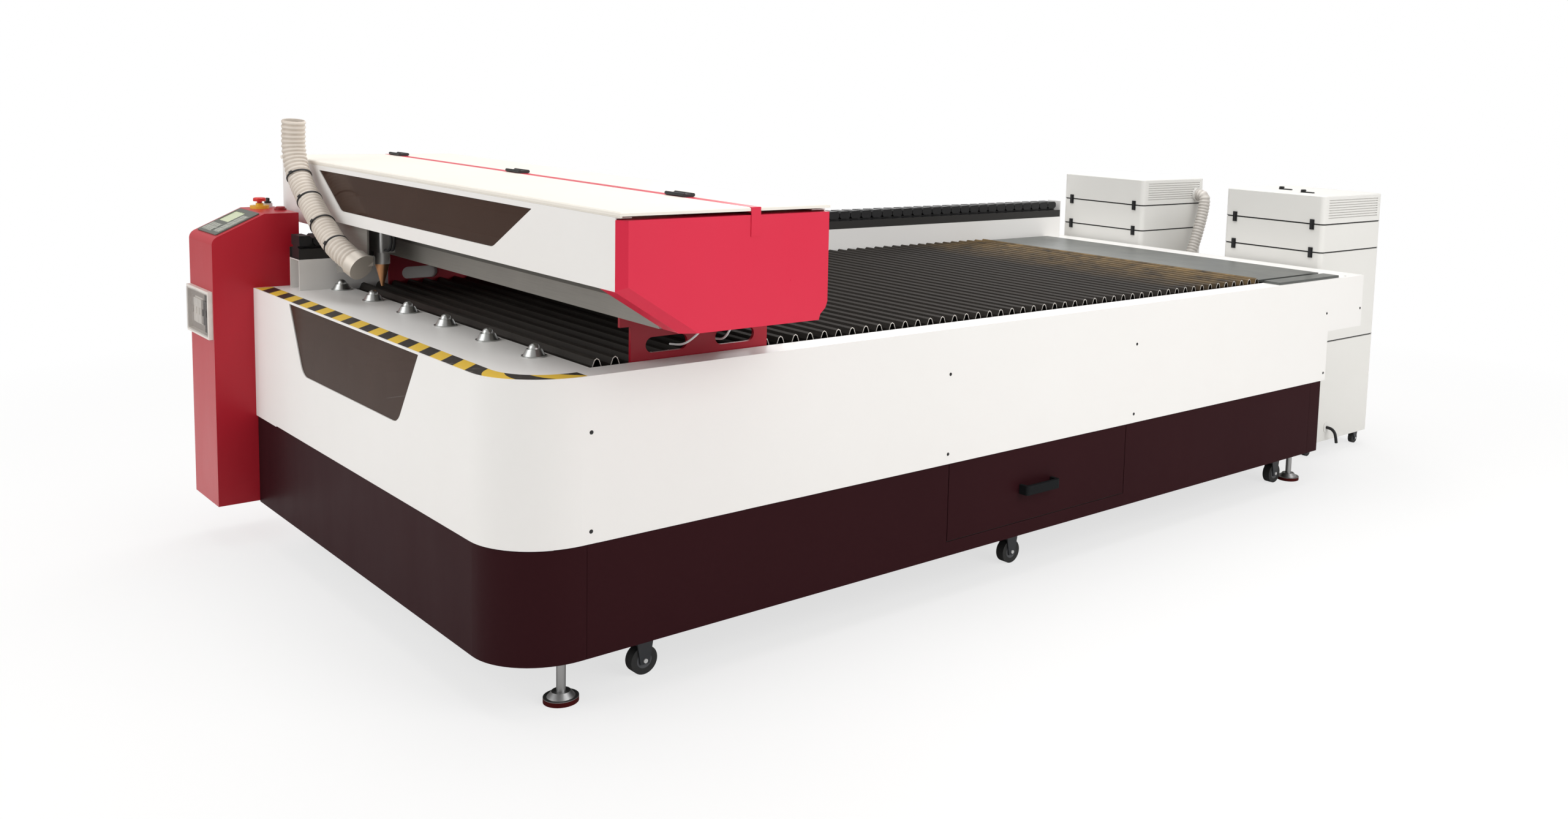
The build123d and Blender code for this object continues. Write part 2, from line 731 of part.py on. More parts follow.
# Drawer: front panel, tray and cup pull
DRAWER_FRONT_Y = SKIRT_INSET
with BuildPart() as drawer:
    x0, x1 = DRAWER_X[0] + DRAWER_GAP, DRAWER_X[1] - DRAWER_GAP
    block((x0, x1), (DRAWER_FRONT_Y, DRAWER_FRONT_Y + SHEET), (DRAWER_Z[0] + DRAWER_GAP, DRAWER_Z[1]))
    tray_x = (x0 + 14, x1 - 14)
    tray_y = (DRAWER_FRONT_Y + SHEET, DRAWER_FRONT_Y + DRAWER_DEPTH)
    block(tray_x, tray_y, (DRAWER_FLOOR_Z, DRAWER_FLOOR_Z + DRAWER_H))
    block(
        (tray_x[0] + SHEET, tray_x[1] - SHEET),
        (tray_y[0], tray_y[1] - SHEET),
        (DRAWER_FLOOR_Z + SHEET, DRAWER_FLOOR_Z + DRAWER_H + 1),
        mode=Mode.SUBTRACT,
    )
    with BuildSketch(level(HANDLE_Z)) as bow:
        bow_y = DRAWER_FRONT_Y - HANDLE_D
        rect(HANDLE_X, HANDLE_X + HANDLE_W, bow_y, DRAWER_FRONT_Y)
        fillet([v for v in bow.vertices() if v.Y < bow_y + 1], HANDLE_R)
        rect(
            HANDLE_X + HANDLE_BAR,
            HANDLE_X + HANDLE_W - HANDLE_BAR,
            bow_y + HANDLE_BAR,
            DRAWER_FRONT_Y,
            mode=Mode.SUBTRACT,
        )
    extrude(amount=HANDLE_H)
save(drawer, "drawer")

# Pedestal on two arms from the frame
slope_run = PED_TOP_X - PED_X[0]
slope_rise = PED_TOP_Z - PED_FRONT_Z
slope_len = sqrt(slope_run**2 + slope_rise**2)
with BuildPart() as pedestal:
    with BuildSketch(along(PED_Y[0])):
        with BuildLine():
            Polyline(
                (PED_X[0], PED_Z),
                (PED_X[1], PED_Z),
                (PED_X[1], PED_TOP_Z),
                (PED_TOP_X, PED_TOP_Z),
                (PED_X[0], PED_FRONT_Z),
                close=True,
            )
        make_face()
    extrude(amount=-(PED_Y[1] - PED_Y[0]))
    front_top = pedestal.edges().filter_by(Axis.Y).group_by(Axis.X)[0].sort_by(Axis.Z)[-1]
    fillet(front_top, PED_R)
    arm_y = (far(TOP_TUBE_Y + TUBE), PED_Y[0])
    for z in ARM_Z:
        block((ARM_X, ARM_X + ARM), arm_y, (z, z + ARM))
save(pedestal, "pedestal")

# Control panel on the slope: bezel with a screen recess and flat keys
panel_plane = Plane(
    origin=place(
        (
            PED_X[0] + slope_run * 0.54,
            (PED_Y[0] + PED_Y[1]) / 2,
            PED_FRONT_Z + slope_rise * 0.54,
        )
    ),
    x_dir=(0, -1, 0),
    z_dir=(-slope_rise, 0, slope_run),
)
with BuildPart() as control_panel:
    with BuildSketch(panel_plane):
        RectangleRounded(PANEL_W, PANEL_L, 6)
    extrude(amount=PANEL_T)
    with BuildSketch(panel_plane.offset(PANEL_T)):
        with Locations((-38, 26)):
            Rectangle(104, 62)
    extrude(amount=-2, mode=Mode.SUBTRACT)
    with BuildSketch(panel_plane.offset(PANEL_T)):
        with Locations((-38, -43)):
            with GridLocations(26, 22, 4, 2):
                RectangleRounded(19, 15, 2)
        with Locations((60, -8)):
            with GridLocations(30, 22, 2, 5):
                RectangleRounded(22, 15, 2)
    extrude(amount=1)
save(control_panel, "control_panel")

# Switch bases on the flat top
with BuildPart() as switch_bases:
    with BuildSketch(level(PED_TOP_Z)):
        with Locations(ESTOP_XY):
            Circle(30)
    extrude(amount=10)
    with BuildSketch(level(PED_TOP_Z + 10)):
        with Locations(ESTOP_XY):
            Circle(12)
    extrude(amount=8)
    with BuildSketch(level(PED_TOP_Z + 4)):
        with Locations(ESTOP_XY):
            Circle(ESTOP_STEM_R + SLIP)
    extrude(amount=14, mode=Mode.SUBTRACT)
    with BuildSketch(level(PED_TOP_Z)):
        with Locations(KEY_XY):
            Circle(14.5)
    extrude(amount=14)
    with BuildSketch(level(PED_TOP_Z)):
        with Locations(BUTTON_XY):
            Circle(19)
            Circle(15, mode=Mode.SUBTRACT)
    extrude(amount=6)
save(switch_bases, "switch_bases")

ESTOP_LOW = PED_TOP_Z + 18 + ESTOP_TRAVEL_GAP
with BuildPart() as estop_button:
    with BuildSketch(level(ESTOP_LOW)):
        with Locations(ESTOP_XY):
            Circle(20)
    extrude(amount=12)
    fillet(estop_button.faces().sort_by(Axis.Z)[-1].edges(), 5)
    with BuildSketch(level(PED_TOP_Z + 4 + ESTOP_TRAVEL_GAP)):
        with Locations(ESTOP_XY):
            Circle(ESTOP_STEM_R)
    extrude(amount=ESTOP_LOW - PED_TOP_Z - 4 - ESTOP_TRAVEL_GAP)
save(estop_button, "estop_button")

KEY_LOW = PED_TOP_Z + 14 + SLIP
with BuildPart() as key_switch:
    with BuildSketch(level(KEY_LOW)):
        with Locations(KEY_XY):
            Circle(11)
    extrude(amount=6)
    with BuildSketch(level(KEY_LOW + 6)):
        with Locations(KEY_XY):
            RectangleRounded(7, 21, 2)
    extrude(amount=12)
save(key_switch, "key_switch")

with BuildPart() as push_button:
    with BuildSketch(level(PED_TOP_Z + 5)):
        with Locations(BUTTON_XY):
            Circle(15 - SLIP)
    extrude(amount=7)
    chamfer(push_button.faces().sort_by(Axis.Z)[-1].edges(), 2)
save(push_button, "push_button")

# Breaker box let into the pedestal front, with toggles behind a hinged smoked door
door_y = (BREAKER_Y[0] + BREAKER_RIM, BREAKER_Y[1] - BREAKER_RIM)
door_z = (BREAKER_Z[0] + BREAKER_RIM, BREAKER_Z[1] - BREAKER_RIM)
BREAKER_X = PED_X[0] - BREAKER_D
with BuildPart() as breaker_box:
    with BuildSketch(across(BREAKER_X)):
        rect(BREAKER_Y[0], BREAKER_Y[1], BREAKER_Z[0], BREAKER_Z[1])
    extrude(amount=BREAKER_D)
    with BuildSketch(across(BREAKER_X)):
        rect(door_y[0], door_y[1], door_z[0], door_z[1])
    extrude(amount=BREAKER_D - 2, mode=Mode.SUBTRACT)
    with BuildSketch(across(PED_X[0] - 2)):
        with Locations(((door_y[0] + door_y[1]) / 2, (door_z[0] + door_z[1]) / 2)):
            with GridLocations(36, 0, 5, 1):
                Rectangle(34, 80)
    extrude(amount=-5)
    with BuildSketch(across(PED_X[0] - 7)):
        with Locations(((door_y[0] + door_y[1]) / 2, (door_z[0] + door_z[1]) / 2)):
            with GridLocations(36, 0, 5, 1):
                Rectangle(12, 22)
    extrude(amount=-3)
save(breaker_box, "breaker_box")

with BuildPart() as breaker_door:
    with BuildSketch(across(BREAKER_X - BREAKER_DOOR_T)):
        rect(door_y[0] - 4, door_y[1] + 4, door_z[0] - 4, door_z[1] + 4)
    extrude(amount=BREAKER_DOOR_T - SLIP)
save(breaker_door, "breaker_door")

# Gantry end caps: folded pans, the far one a mirror of the near one
CAP_PROFILE = [
    (GAN_X[0], CAP_TOP),
    (GAN_X[0], LIP_Z),
    (CAP_LOW_X, CAP_LOW),
    (770.0, CAP_LOW),
    (774.0, 1007.0),
    (791.0, 1023.0),
    (797.0, 1040.0),
    (797.0, CAP_TOP),
]


def cap_pan(y_out, side):
    """Pan with its closed face at y_out and its mouth towards the middle of the gantry."""
    with BuildSketch(along(y_out)) as profile:
        with BuildLine():
            Polyline(*CAP_PROFILE, close=True)
        make_face()
    extrude(profile.sketch, amount=-side * CAP_FOLD)
    outer = y_out - MID_Y
    front = [
        e
        for e in BuildPart._get_context().edges()
        if abs(e.center().Y - outer) < 0.1 and e.center().X < CAP_LOW_X - MID_X - 50
        and abs(e.tangent_at(0.5).Z) > 0.3
    ]
    chamfer(front, CAP_CHAMFER)
    mouth = BuildPart._get_context().faces().filter_by(Axis.Y).sort_by(Axis.Y)[-1 if side > 0 else 0]
    offset(amount=-SHEET, openings=mouth)
    y_cover = y_out + side * CAP_CHAMFER
    y_mouth = y_out + side * (CAP_FOLD + 1)
    block(
        (GAN_X[0] - 1, GAN_X[0] + SHEET + 1),
        (min(y_cover, y_mouth), max(y_cover, y_mouth)),
        (LIP_Z - 8, CAP_TOP + 1),
        mode=Mode.SUBTRACT,
    )


with BuildPart() as near_cap:
    cap_pan(GAN_Y[0], 1)
save(near_cap, "near_cap")

with BuildPart() as far_cap:
    cap_pan(GAN_Y[1], -1)
save(far_cap, "far_cap")

# Front cover with the lobe at the far end, the window opening and a folded top edge
cover_y = (GAN_Y[0] + CAP_CHAMFER, GAN_Y[1] - CAP_CHAMFER)
with BuildPart() as front_cover:
    with BuildSketch(across(GAN_X[0])):
        with BuildLine():
            Polyline(
                (cover_y[0], COVER_TOP),
                (cover_y[0], LIP_Z),
                (LOBE_Y - 22, LIP_Z),
                (LOBE_Y + 22, LOBE_Z),
                (cover_y[1], LOBE_Z),
                (cover_y[1], COVER_TOP),
                close=True,
            )
        make_face()
    extrude(amount=SHEET)
    with BuildSketch(across(GAN_X[0] - 1)):
        trapezoid(GAN_WIN_TOP, GAN_WIN_BOTTOM, GAN_WIN_Z[1], GAN_WIN_Z[0], WIN_R)
    extrude(amount=SHEET + 2, mode=Mode.SUBTRACT)
    block((GAN_X[0] + SHEET, GAN_X[0] + 44), cover_y, (COVER_TOP - SHEET, COVER_TOP))
save(front_cover, "front_cover")

# Rear cover with folded edges
with BuildPart() as rear_cover:
    with BuildSketch(along(cover_y[0])):
        with BuildLine():
            Polyline(
                (756.0, COVER_TOP),
                (GAN_X[1], COVER_TOP),
                (GAN_X[1], REAR_LIP_Z),
                (GAN_X[1] - SHEET, REAR_LIP_Z),
                (GAN_X[1] - SHEET, COVER_TOP - SHEET),
                (756.0, COVER_TOP - SHEET),
                close=True,
            )
        make_face()
    extrude(amount=-(cover_y[1] - cover_y[0]))
    block(
        (GAN_X[1] - SHEET - 1, GAN_X[1] + 1),
        (LOBE_Y - 22, cover_y[1] + 1),
        (REAR_LIP_Z - 1, LOBE_Z),
        mode=Mode.SUBTRACT,
    )
save(rear_cover, "rear_cover")

with BuildPart() as gantry_window:
    with BuildSketch(across(GAN_X[0] + SHEET)):
        rect(
            GAN_WIN_TOP[0] - GLASS_LAP,
            GAN_WIN_TOP[1] + GLASS_LAP,
            GAN_WIN_Z[0] - GLASS_LAP,
            COVER_TOP - SHEET - 1,
        )
    extrude(amount=GLASS_T)
save(gantry_window, "gantry_window")

# Centre strip between the lids, with an end tab folded over each cap
with BuildPart() as centre_strip:
    block(STRIP_X, (GAN_Y[0] - TAB_T, GAN_Y[1] + TAB_T), (COVER_TOP, LID_Z[1]))
    for y0 in (GAN_Y[0] - TAB_T, GAN_Y[1]):
        block(STRIP_X, (y0, y0 + TAB_T), (COVER_TOP - TAB_H, COVER_TOP))
save(centre_strip, "centre_strip")


def lid_solid(x0, x1):
    """Folded lid with soft long edges."""
    with BuildSketch(level(LID_Z[0])) as sheet:
        rect(x0, x1, GAN_Y[0], GAN_Y[1])
    extrude(sheet.sketch, amount=LID_Z[1] - LID_Z[0])
    chamfer(BuildPart._get_context().faces().sort_by(Axis.Z)[-1].edges(), 3)


with BuildPart() as front_lid:
    lid_solid(GAN_X[0], STRIP_X[0] - SLIP)
save(front_lid, "front_lid")

with BuildPart() as rear_lid:
    lid_solid(STRIP_X[1] + SLIP, GAN_X[1])
save(rear_lid, "rear_lid")

# Lid hinges: a leaf on the strip with a barrel over each lid edge
with BuildPart() as lid_hinges:
    for y in HINGE_Y:
        block(STRIP_X, (y - HINGE_L / 2, y + HINGE_L / 2), (LID_Z[1], HINGE_Z + 2))
        with BuildSketch(along(y - HINGE_L / 2)):
            with Locations((STRIP_X[0], HINGE_Z), (STRIP_X[1], HINGE_Z)):
                Circle(HINGE_R)
        extrude(amount=-HINGE_L)
save(lid_hinges, "lid_hinges")

# Beam with its grey front plate and the two head rails
beam_y = (GAN_Y[0] + SHEET, GAN_Y[1] - SHEET)
with BuildPart() as gantry_beam:
    with BuildSketch(along(beam_y[0])) as beam_section:
        rect(BEAM_X[0], BEAM_X[1], BEAM_Z[0], BEAM_Z[1])
        chamfer(beam_section.vertices(), BEAM_R)
    extrude(amount=-(beam_y[1] - beam_y[0]))
    for y in (cover_y[0] + 130, MID_Y, cover_y[1] - 130):
        block((STRIP_X[0], STRIP_X[1]), (y - 30, y + 30), (BEAM_Z[1], COVER_TOP))
        block((BEAM_X[1], GAN_X[1] - SHEET), (y - 30, y + 30), (1150, 1160))
save(gantry_beam, "gantry_beam")

face_y = (GAN_Y[0] + CAP_FOLD, far(BAY_Y[0] + BRACKET_GAP + BRACKET_T))
with BuildPart() as beam_face:
    with BuildSketch(along(face_y[0])):
        with BuildLine():
            Polyline(
                (BEAM_X[0], BEAM_FACE_LOW),
                (BEAM_X[0], BEAM_Z[1] - BEAM_R),
                (BEAM_X[0] - BEAM_FACE_T, BEAM_Z[1] - BEAM_R),
                (BEAM_X[0] - BEAM_FACE_T, BEAM_FACE_LOW + 62),
                (BEAM_X[0] - 3 * BEAM_FACE_T, BEAM_FACE_LOW + 54),
                (BEAM_X[0] - 3 * BEAM_FACE_T, BEAM_FACE_LOW),
                close=True,
            )
        make_face()
    extrude(amount=-(face_y[1] - face_y[0]))
    for z in Y_RAIL_Z:
        block(
            (BEAM_X[0] - BEAM_FACE_T - Y_RAIL[1], BEAM_X[0] - BEAM_FACE_T),
            (face_y[0] + 60, face_y[1] - 10),
            (z, z + Y_RAIL[0]),
        )
save(beam_face, "beam_face")


def bracket_solid(y0, y1):
    """Side bracket with two slots and the rail carriages on its outer face."""
    with BuildSketch(along(y0)) as plate:
        with BuildLine():
            Polyline(
                (BRACKET_X[0], RAIL_BASE_Z + BLOCK_RISE),
                (BRACKET_X[1], RAIL_BASE_Z + BLOCK_RISE),
                (BRACKET_X[1], BEAM_Z[0] - 60),
                (BEAM_X[1], BEAM_Z[0]),
                (BRACKET_TOP_X, BEAM_Z[0]),
                (BRACKET_TOP_X, BRACKET_STEP_Z),
                (BRACKET_X[0], BRACKET_STEP_Z),
                close=True,
            )
        make_face()
        with Locations(*[(x, BRACKET_SLOT_Z) for x in BRACKET_SLOT_X]):
            SlotOverall(*BRACKET_SLOT, mode=Mode.SUBTRACT)
    extrude(plate.sketch, amount=-(y1 - y0))


near_bracket_y = (BAY_Y[0] + BRACKET_GAP, BAY_Y[0] + BRACKET_GAP + BRACKET_T)
with BuildPart() as gantry_brackets:
    for y0, y1 in pair(*near_bracket_y):
        bracket_solid(y0, y1)
save(gantry_brackets, "gantry_brackets")

block_z = (RAIL_BASE_Z + BLOCK_RISE, RAIL_BASE_Z + BLOCK_RISE + BLOCK_H)
with BuildPart() as rail_carriages:
    for y0, y1 in pair(RAIL_Y[1] + SLIP, near_bracket_y[0]):
        for x0 in (BRACKET_X[0] + 30, BRACKET_X[1] - 30 - BLOCK_L):
            block((x0, x0 + BLOCK_L), (y0, y1), block_z)
save(rail_carriages, "rail_carriages")

# Head carriage on the beam face
carriage_y = (HEAD_XY[1] - CARRIAGE_W / 2, HEAD_XY[1] + CARRIAGE_W / 2)
with BuildPart() as head_carriage:
    with BuildSketch(across(CARRIAGE_X[0])) as carriage_face:
        rect(carriage_y[0], carriage_y[1], CARRIAGE_Z[0], CARRIAGE_Z[1])
        chamfer(carriage_face.vertices(), 12)
    extrude(amount=BEAM_X[0] - BEAM_FACE_T - Y_RAIL[1] - SLIP - CARRIAGE_X[0])
save(head_carriage, "head_carriage")

# Cutting head: square body with a round collar
with BuildPart() as cutting_head:
    with BuildSketch(level(HEAD_Z[0] + 40)):
        with Locations(HEAD_XY):
            RectangleRounded(HEAD_D, HEAD_W, 8)
    extrude(amount=HEAD_Z[1] - HEAD_Z[0] - 40)
    with BuildSketch(level(HEAD_Z[0])):
        with Locations(HEAD_XY):
            Circle(HEAD_D / 2 - 1)
    extrude(amount=40)
    block(
        (HEAD_XY[0] + HEAD_D / 2, CARRIAGE_X[0] - SLIP),
        (HEAD_XY[1] - 30, HEAD_XY[1] + 30),
        (CARRIAGE_Z[0] + 20, HEAD_Z[1] - 10),
    )
save(cutting_head, "cutting_head")

with BuildPart() as nozzle:
    with BuildSketch(level(HEAD_Z[0])):
        with Locations(HEAD_XY):
            Circle(NOZZLE_R[0])
    with BuildSketch(level(NOZZLE_Z)):
        with Locations(HEAD_XY):
            Circle(NOZZLE_R[1])
    loft()
save(nozzle, "nozzle")

# Suction arm: tapered plate hung from the carriage, with the socket of the hose
hose_points = [place(p) for p in HOSE]
hose_end_dir = (hose_points[-1] - hose_points[-2]).normalized()
with BuildPart() as hose_arm:
    with BuildSketch(across(ARM_PLATE_X)):
        with BuildLine():
            Polyline(
                (1400, 1200),
                (1400, 985),
                (1424, 962),
                (1668, 932),
                (1700, 1010),
                (1640, 1200),
                close=True,
            )
        make_face()
    extrude(amount=ARM_PLATE_T)
    block(
        (ARM_PLATE_X + ARM_PLATE_T, CARRIAGE_X[0]),
        (HEAD_XY[1] + HEAD_W / 2 + 8, carriage_y[1]),
        (CARRIAGE_Z[0] + 10, CARRIAGE_Z[0] + 50),
    )
    with BuildSketch(Plane(origin=hose_points[-1], z_dir=hose_end_dir)):
        Circle(SOCKET_R)
    extrude(amount=SOCKET_L)
    block((176, ARM_PLATE_X + ARM_PLATE_T), (1352, 1412), (990, 1020))
save(hose_arm, "hose_arm")


def cord_path(points, label):
    """Straight runs joined by the largest arcs that their runs allow; prints the radii."""
    radii = []
    for before, here, after in zip(points, points[1:], points[2:]):
        turn = radians((here - before).get_angle(after - here))
        run = min((here - before).length, (after - here).length)
        radii.append(0.45 * run / tan(turn / 2))
    print(label, "radii", [round(r) for r in radii])
    FilletPolyline(*points, radius=radii)


def tube_solid(points, radius, label):
    """Plain tube along the route."""
    with BuildLine() as route:
        cord_path(points, label)
    length = sum(edge.length for edge in route.edges())
    print(label, "length", round(length), "expected volume", round(length * 3.14159 * radius**2))
    with BuildSketch(Plane(origin=points[0], z_dir=points[1] - points[0])) as section:
        Circle(radius)
    sweep(section.sketch, path=route.wire())


with BuildPart() as suction_hose:
    tube_solid(hose_points, HOSE_R, "suction_hose")
save(suction_hose, "suction_hose")

with BuildPart() as hose_clamps:
    for run, share in CLAMP_SPOTS:
        start = hose_points[run]
        step = hose_points[run + 1] - start
        with BuildSketch(Plane(origin=start + step * share, z_dir=step)):
            Circle(HOSE_R + CLAMP_T)
            Circle(HOSE_R, mode=Mode.SUBTRACT)
        extrude(amount=CLAMP_W)
save(hose_clamps, "hose_clamps")

# Cables looped beside the cutting head
HEAD_SIDE_Y = HEAD_XY[1] - HEAD_W / 2
with BuildPart() as head_lines:
    for x, bow in ((256.0, 52.0), (273.0, 34.0)):
        points = [
            place((x, HEAD_SIDE_Y, 1118)),
            place((x, HEAD_SIDE_Y - bow * 0.6, 1118)),
            place((x, HEAD_SIDE_Y - bow, 1080)),
            place((x, HEAD_SIDE_Y - bow * 0.9, 1050)),
            place((x, HEAD_SIDE_Y - bow * 0.5, 1034)),
            place((x, HEAD_SIDE_Y, 1034)),
        ]
        tube_solid(points, 4.5, "head_line")
save(head_lines, "head_lines")


def cabinet_solid(y0):
    """Three stacked tiers with grooved seams, and louvres in the top tier."""
    with BuildSketch(level(CAB_Z[0])) as plan:
        with Locations((CAB_X + CAB_L / 2, y0 + CAB_W / 2)):
            RectangleRounded(CAB_L, CAB_W, CAB_R)
    extrude(plan.sketch, amount=CAB_Z[1] - CAB_Z[0])
    chamfer(BuildPart._get_context().faces().sort_by(Axis.Z)[-1].edges(), 4)
    for z in CAB_SEAMS:
        with BuildSketch(level(z - CAB_SEAM_H / 2)) as groove:
            with Locations((CAB_X + CAB_L / 2, y0 + CAB_W / 2)):
                Rectangle(CAB_L + 2, CAB_W + 2)
                RectangleRounded(CAB_L - 2 * CAB_SEAM_H, CAB_W - 2 * CAB_SEAM_H, CAB_R - 4, mode=Mode.SUBTRACT)
        extrude(groove.sketch, amount=CAB_SEAM_H, mode=Mode.SUBTRACT)
    with BuildSketch(along(y0)) as slots:
        with Locations((CAB_X + CAB_L / 2, LOUVRE_Z + LOUVRE_PITCH * (LOUVRES - 1) / 2)):
            with GridLocations(0, LOUVRE_PITCH, 1, LOUVRES):
                Rectangle(CAB_L - 80, LOUVRE_H)
    extrude(slots.sketch, amount=-6, mode=Mode.SUBTRACT)


for name, y0 in CAB_Y.items():
    with BuildPart() as cabinet:
        cabinet_solid(y0)
        if name == "left":
            with BuildSketch(along(y0)):
                with Locations((DUCT[0][0], DUCT[0][2])):
                    Circle(SPIGOT_R)
            extrude(amount=SPIGOT_L / 2)
        else:
            with BuildSketch(along(y0)):
                with Locations(CABLE_XZ):
                    Circle(GROMMET_R)
            extrude(amount=3)
    save(cabinet, f"{name}_cabinet")

# Toggle latches across the two upper seams of each cabinet
with BuildPart() as cabinet_latches:
    latch_places = [
        (y0 + inset, z)
        for y0 in CAB_Y.values()
        for inset in (LATCH_INSET, CAB_W - LATCH_INSET)
        for z in CAB_SEAMS[1:]
    ]
    with BuildSketch(across(CAB_X)):
        with Locations(*latch_places):
            Rectangle(LATCH_W, LATCH_H)
    extrude(amount=-LATCH_D * 0.4)
    with BuildSketch(across(CAB_X - LATCH_D * 0.4)):
        with Locations(*latch_places):
            Rectangle(LATCH_W * 0.6, LATCH_H * 0.86)
    extrude(amount=-LATCH_D * 0.6)
save(cabinet_latches, "cabinet_latches")

# Cabinet wheels: one body for each pair on one line
for name, y0 in CAB_Y.items():
    for end, x in zip(("front", "rear"), cab_caster_x):
        with BuildPart() as cabinet_wheels:
            for y in (y0 + CAB_CASTER_INSET, y0 + CAB_W - CAB_CASTER_INSET):
                wheel_solid(x, y, CAB_CASTER_ZC, CAB_WHEEL_R, CAB_WHEEL_W)
        save(cabinet_wheels, f"{name}_cabinet_wheels_{end}")

# Duct hose from the left cabinet to the rear of the bed, and the cable tail of the right one
duct_points = [place(p) for p in DUCT]
with BuildPart() as duct_hose:
    tube_solid(duct_points, DUCT_R, "duct_hose")
save(duct_hose, "duct_hose")

cable_points = [place(p) for p in CABLE]
with BuildPart() as power_cable:
    tube_solid(cable_points, CABLE_R, "power_cable")
save(power_cable, "power_cable")
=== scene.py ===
"""Looks of the flat-bed laser cutting machine: camera, light, finishes, cords and small fittings."""
import json
from math import cos, pi, radians, sin, tau

import bmesh
import bpy
from mathutils import Matrix, Vector


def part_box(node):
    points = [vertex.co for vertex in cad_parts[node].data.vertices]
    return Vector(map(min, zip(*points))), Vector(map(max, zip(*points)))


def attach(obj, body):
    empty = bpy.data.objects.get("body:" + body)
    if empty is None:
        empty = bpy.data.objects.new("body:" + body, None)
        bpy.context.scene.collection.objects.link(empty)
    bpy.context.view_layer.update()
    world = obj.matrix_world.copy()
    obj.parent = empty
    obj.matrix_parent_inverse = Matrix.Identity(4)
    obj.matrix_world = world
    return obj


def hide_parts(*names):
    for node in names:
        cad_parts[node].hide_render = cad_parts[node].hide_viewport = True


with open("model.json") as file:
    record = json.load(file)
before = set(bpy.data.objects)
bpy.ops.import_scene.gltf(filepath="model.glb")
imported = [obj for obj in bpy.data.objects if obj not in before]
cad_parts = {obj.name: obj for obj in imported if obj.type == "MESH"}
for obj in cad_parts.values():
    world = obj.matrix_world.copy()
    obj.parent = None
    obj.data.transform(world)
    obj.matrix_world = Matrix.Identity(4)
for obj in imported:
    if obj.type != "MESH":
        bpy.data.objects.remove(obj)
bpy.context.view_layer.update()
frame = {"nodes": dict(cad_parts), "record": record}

# Places are read from the bed's near front corner in millimetres, as the drawings give them
MID_X = 2144.0
MID_Y = 966.0

# Photograph's frame
IMAGE_W = 2560
EYE = (-1436.2, -3018.4, 1602.5)
YAW = 43.931
PITCH = -6.489
ROLL = 1.968
FOCAL_PX = 2236.8
CENTRE_PX = (287.2, -265.5)
SENSOR = 36.0

# Bed
BED_W = 1850.0
DECK_Z = 872.0
CORNER_R = 200.0
CORNER_PANEL_X = 215.0
CLAD_SCREW_X = (224.0, 1451.0, 2364.0, 3620.0)
CLAD_SCREW_Z = (475.0, 729.0)
OVERHANG_SCREW_X = 3886.0
RIM_SCREW_X = (3732.0, 3787.0)
RIM_SCREW_Y = 24.0

# Rear plate, covers and cabinets
LEDGE_SHEET_X = (3272.0, 3716.0)
LEDGE_SHEET_Y = (12.0, 88.0)
PLATE_TOP_Z = 882.0
TRAY_START_X = 100.0
CHAIN_START_X = 104.0
COVER_TOP = 1283.0
LID_Z = 1287.0
SEAL_X = (184.0, 191.0)
SEAL_Y = (-200.0, 2132.0)
CABINET_TOP = 1194.0
CABINET_SEAMS = (529.0, 938.0, 1064.0)
CABINET_CATCHES = ((4122.0, 560.0), (4042.0, 392.0))
CATCH_T = 5.0
CATCH_H = 14.0

# Depth of the slats' bare sawn ends, in metres
SLAT_END = 0.0006

# Front face of the suction arm's plate
ARM_PLATE_X = 205.0

# Pedestal fittings: places on the panel run across it and up its slope from its middle
DISPLAY_AT = (-38.0, 26.0)
DISPLAY_SIZE = (104.0, 62.0)
KEY_BLOCKS = (((-38.0, -43.0), (101.0, 42.0)), ((60.0, -8.0), (56.0, 105.0)))
ESTOP_XY = (85.0, 2050.0)
BUTTON_XY = (126.0, 1966.0)
BREAKER_STRIP_Y = (1888.0, 1938.0)
BREAKER_CARD_Y = (1958.0, 2044.0)
BREAKER_CARD_Z = (742.0, 832.0)

# Air lines through the bracket's slots
AIR_R = 3.0
AIR_LINES = (
    ((528, 132, 900), (532, 96, 902), (540, 66, 912), (562, 44, 940), (596, 46, 972), (612, 70, 988)),
    ((664, 132, 902), (664, 98, 903), (666, 72, 914), (672, 56, 942), (684, 58, 968), (692, 74, 986)),
)

# Hazard tape along the front of the deck
TAPE_W = 54.0
TAPE_INSET = 4.0
TAPE_T = 0.3

# Length of one yellow and one dark band, in metres
TAPE_STRIPE = 0.140

# Hoses and the mains tail
HOSE_R = 38.0
HOSE = [
    (130, 1828, 1430),
    (130, 1836, 1372),
    (130, 1830, 1316),
    (130, 1805, 1267),
    (130, 1763, 1221),
    (130, 1643, 1141),
    (130, 1499, 1063),
    (136, 1428, 1030),
    (156, 1376, 1003),
]
TIES = [(3, 0.5), (4, 0.62), (5, 0.5), (6, 0.5)]
DUCT_R = 30.0
DUCT = [
    (4362, 1237, 1112),
    (4362, 1200, 1110),
    (4359, 1190, 1078),
    (4346, 1190, 1015),
    (4308, 1192, 900),
    (4260, 1192, 800),
    (4205, 1190, 700),
    (4135, 1188, 628),
    (4050, 1188, 588),
    (3950, 1192, 570),
    (3850, 1197, 563),
    (3765, 1200, 561),
    (3712, 1201, 560),
    (3661, 1201, 560),
]
TAIL_R = 7.0
TAIL = [
    (4061, 227, 129),
    (4061, 205, 129),
    (4062, 186, 116),
    (4064, 178, 92),
    (4067, 176, 66),
]
RIB_PITCH = 16.0
RIB_DEPTH = 4.0
HOSE_WALL = 2.0


def at(x, y, z):
    """A place of the bed's corner frame, in metres of the model's frame."""
    return Vector(((x - MID_X) / 1000, (y - MID_Y) / 1000, z / 1000))


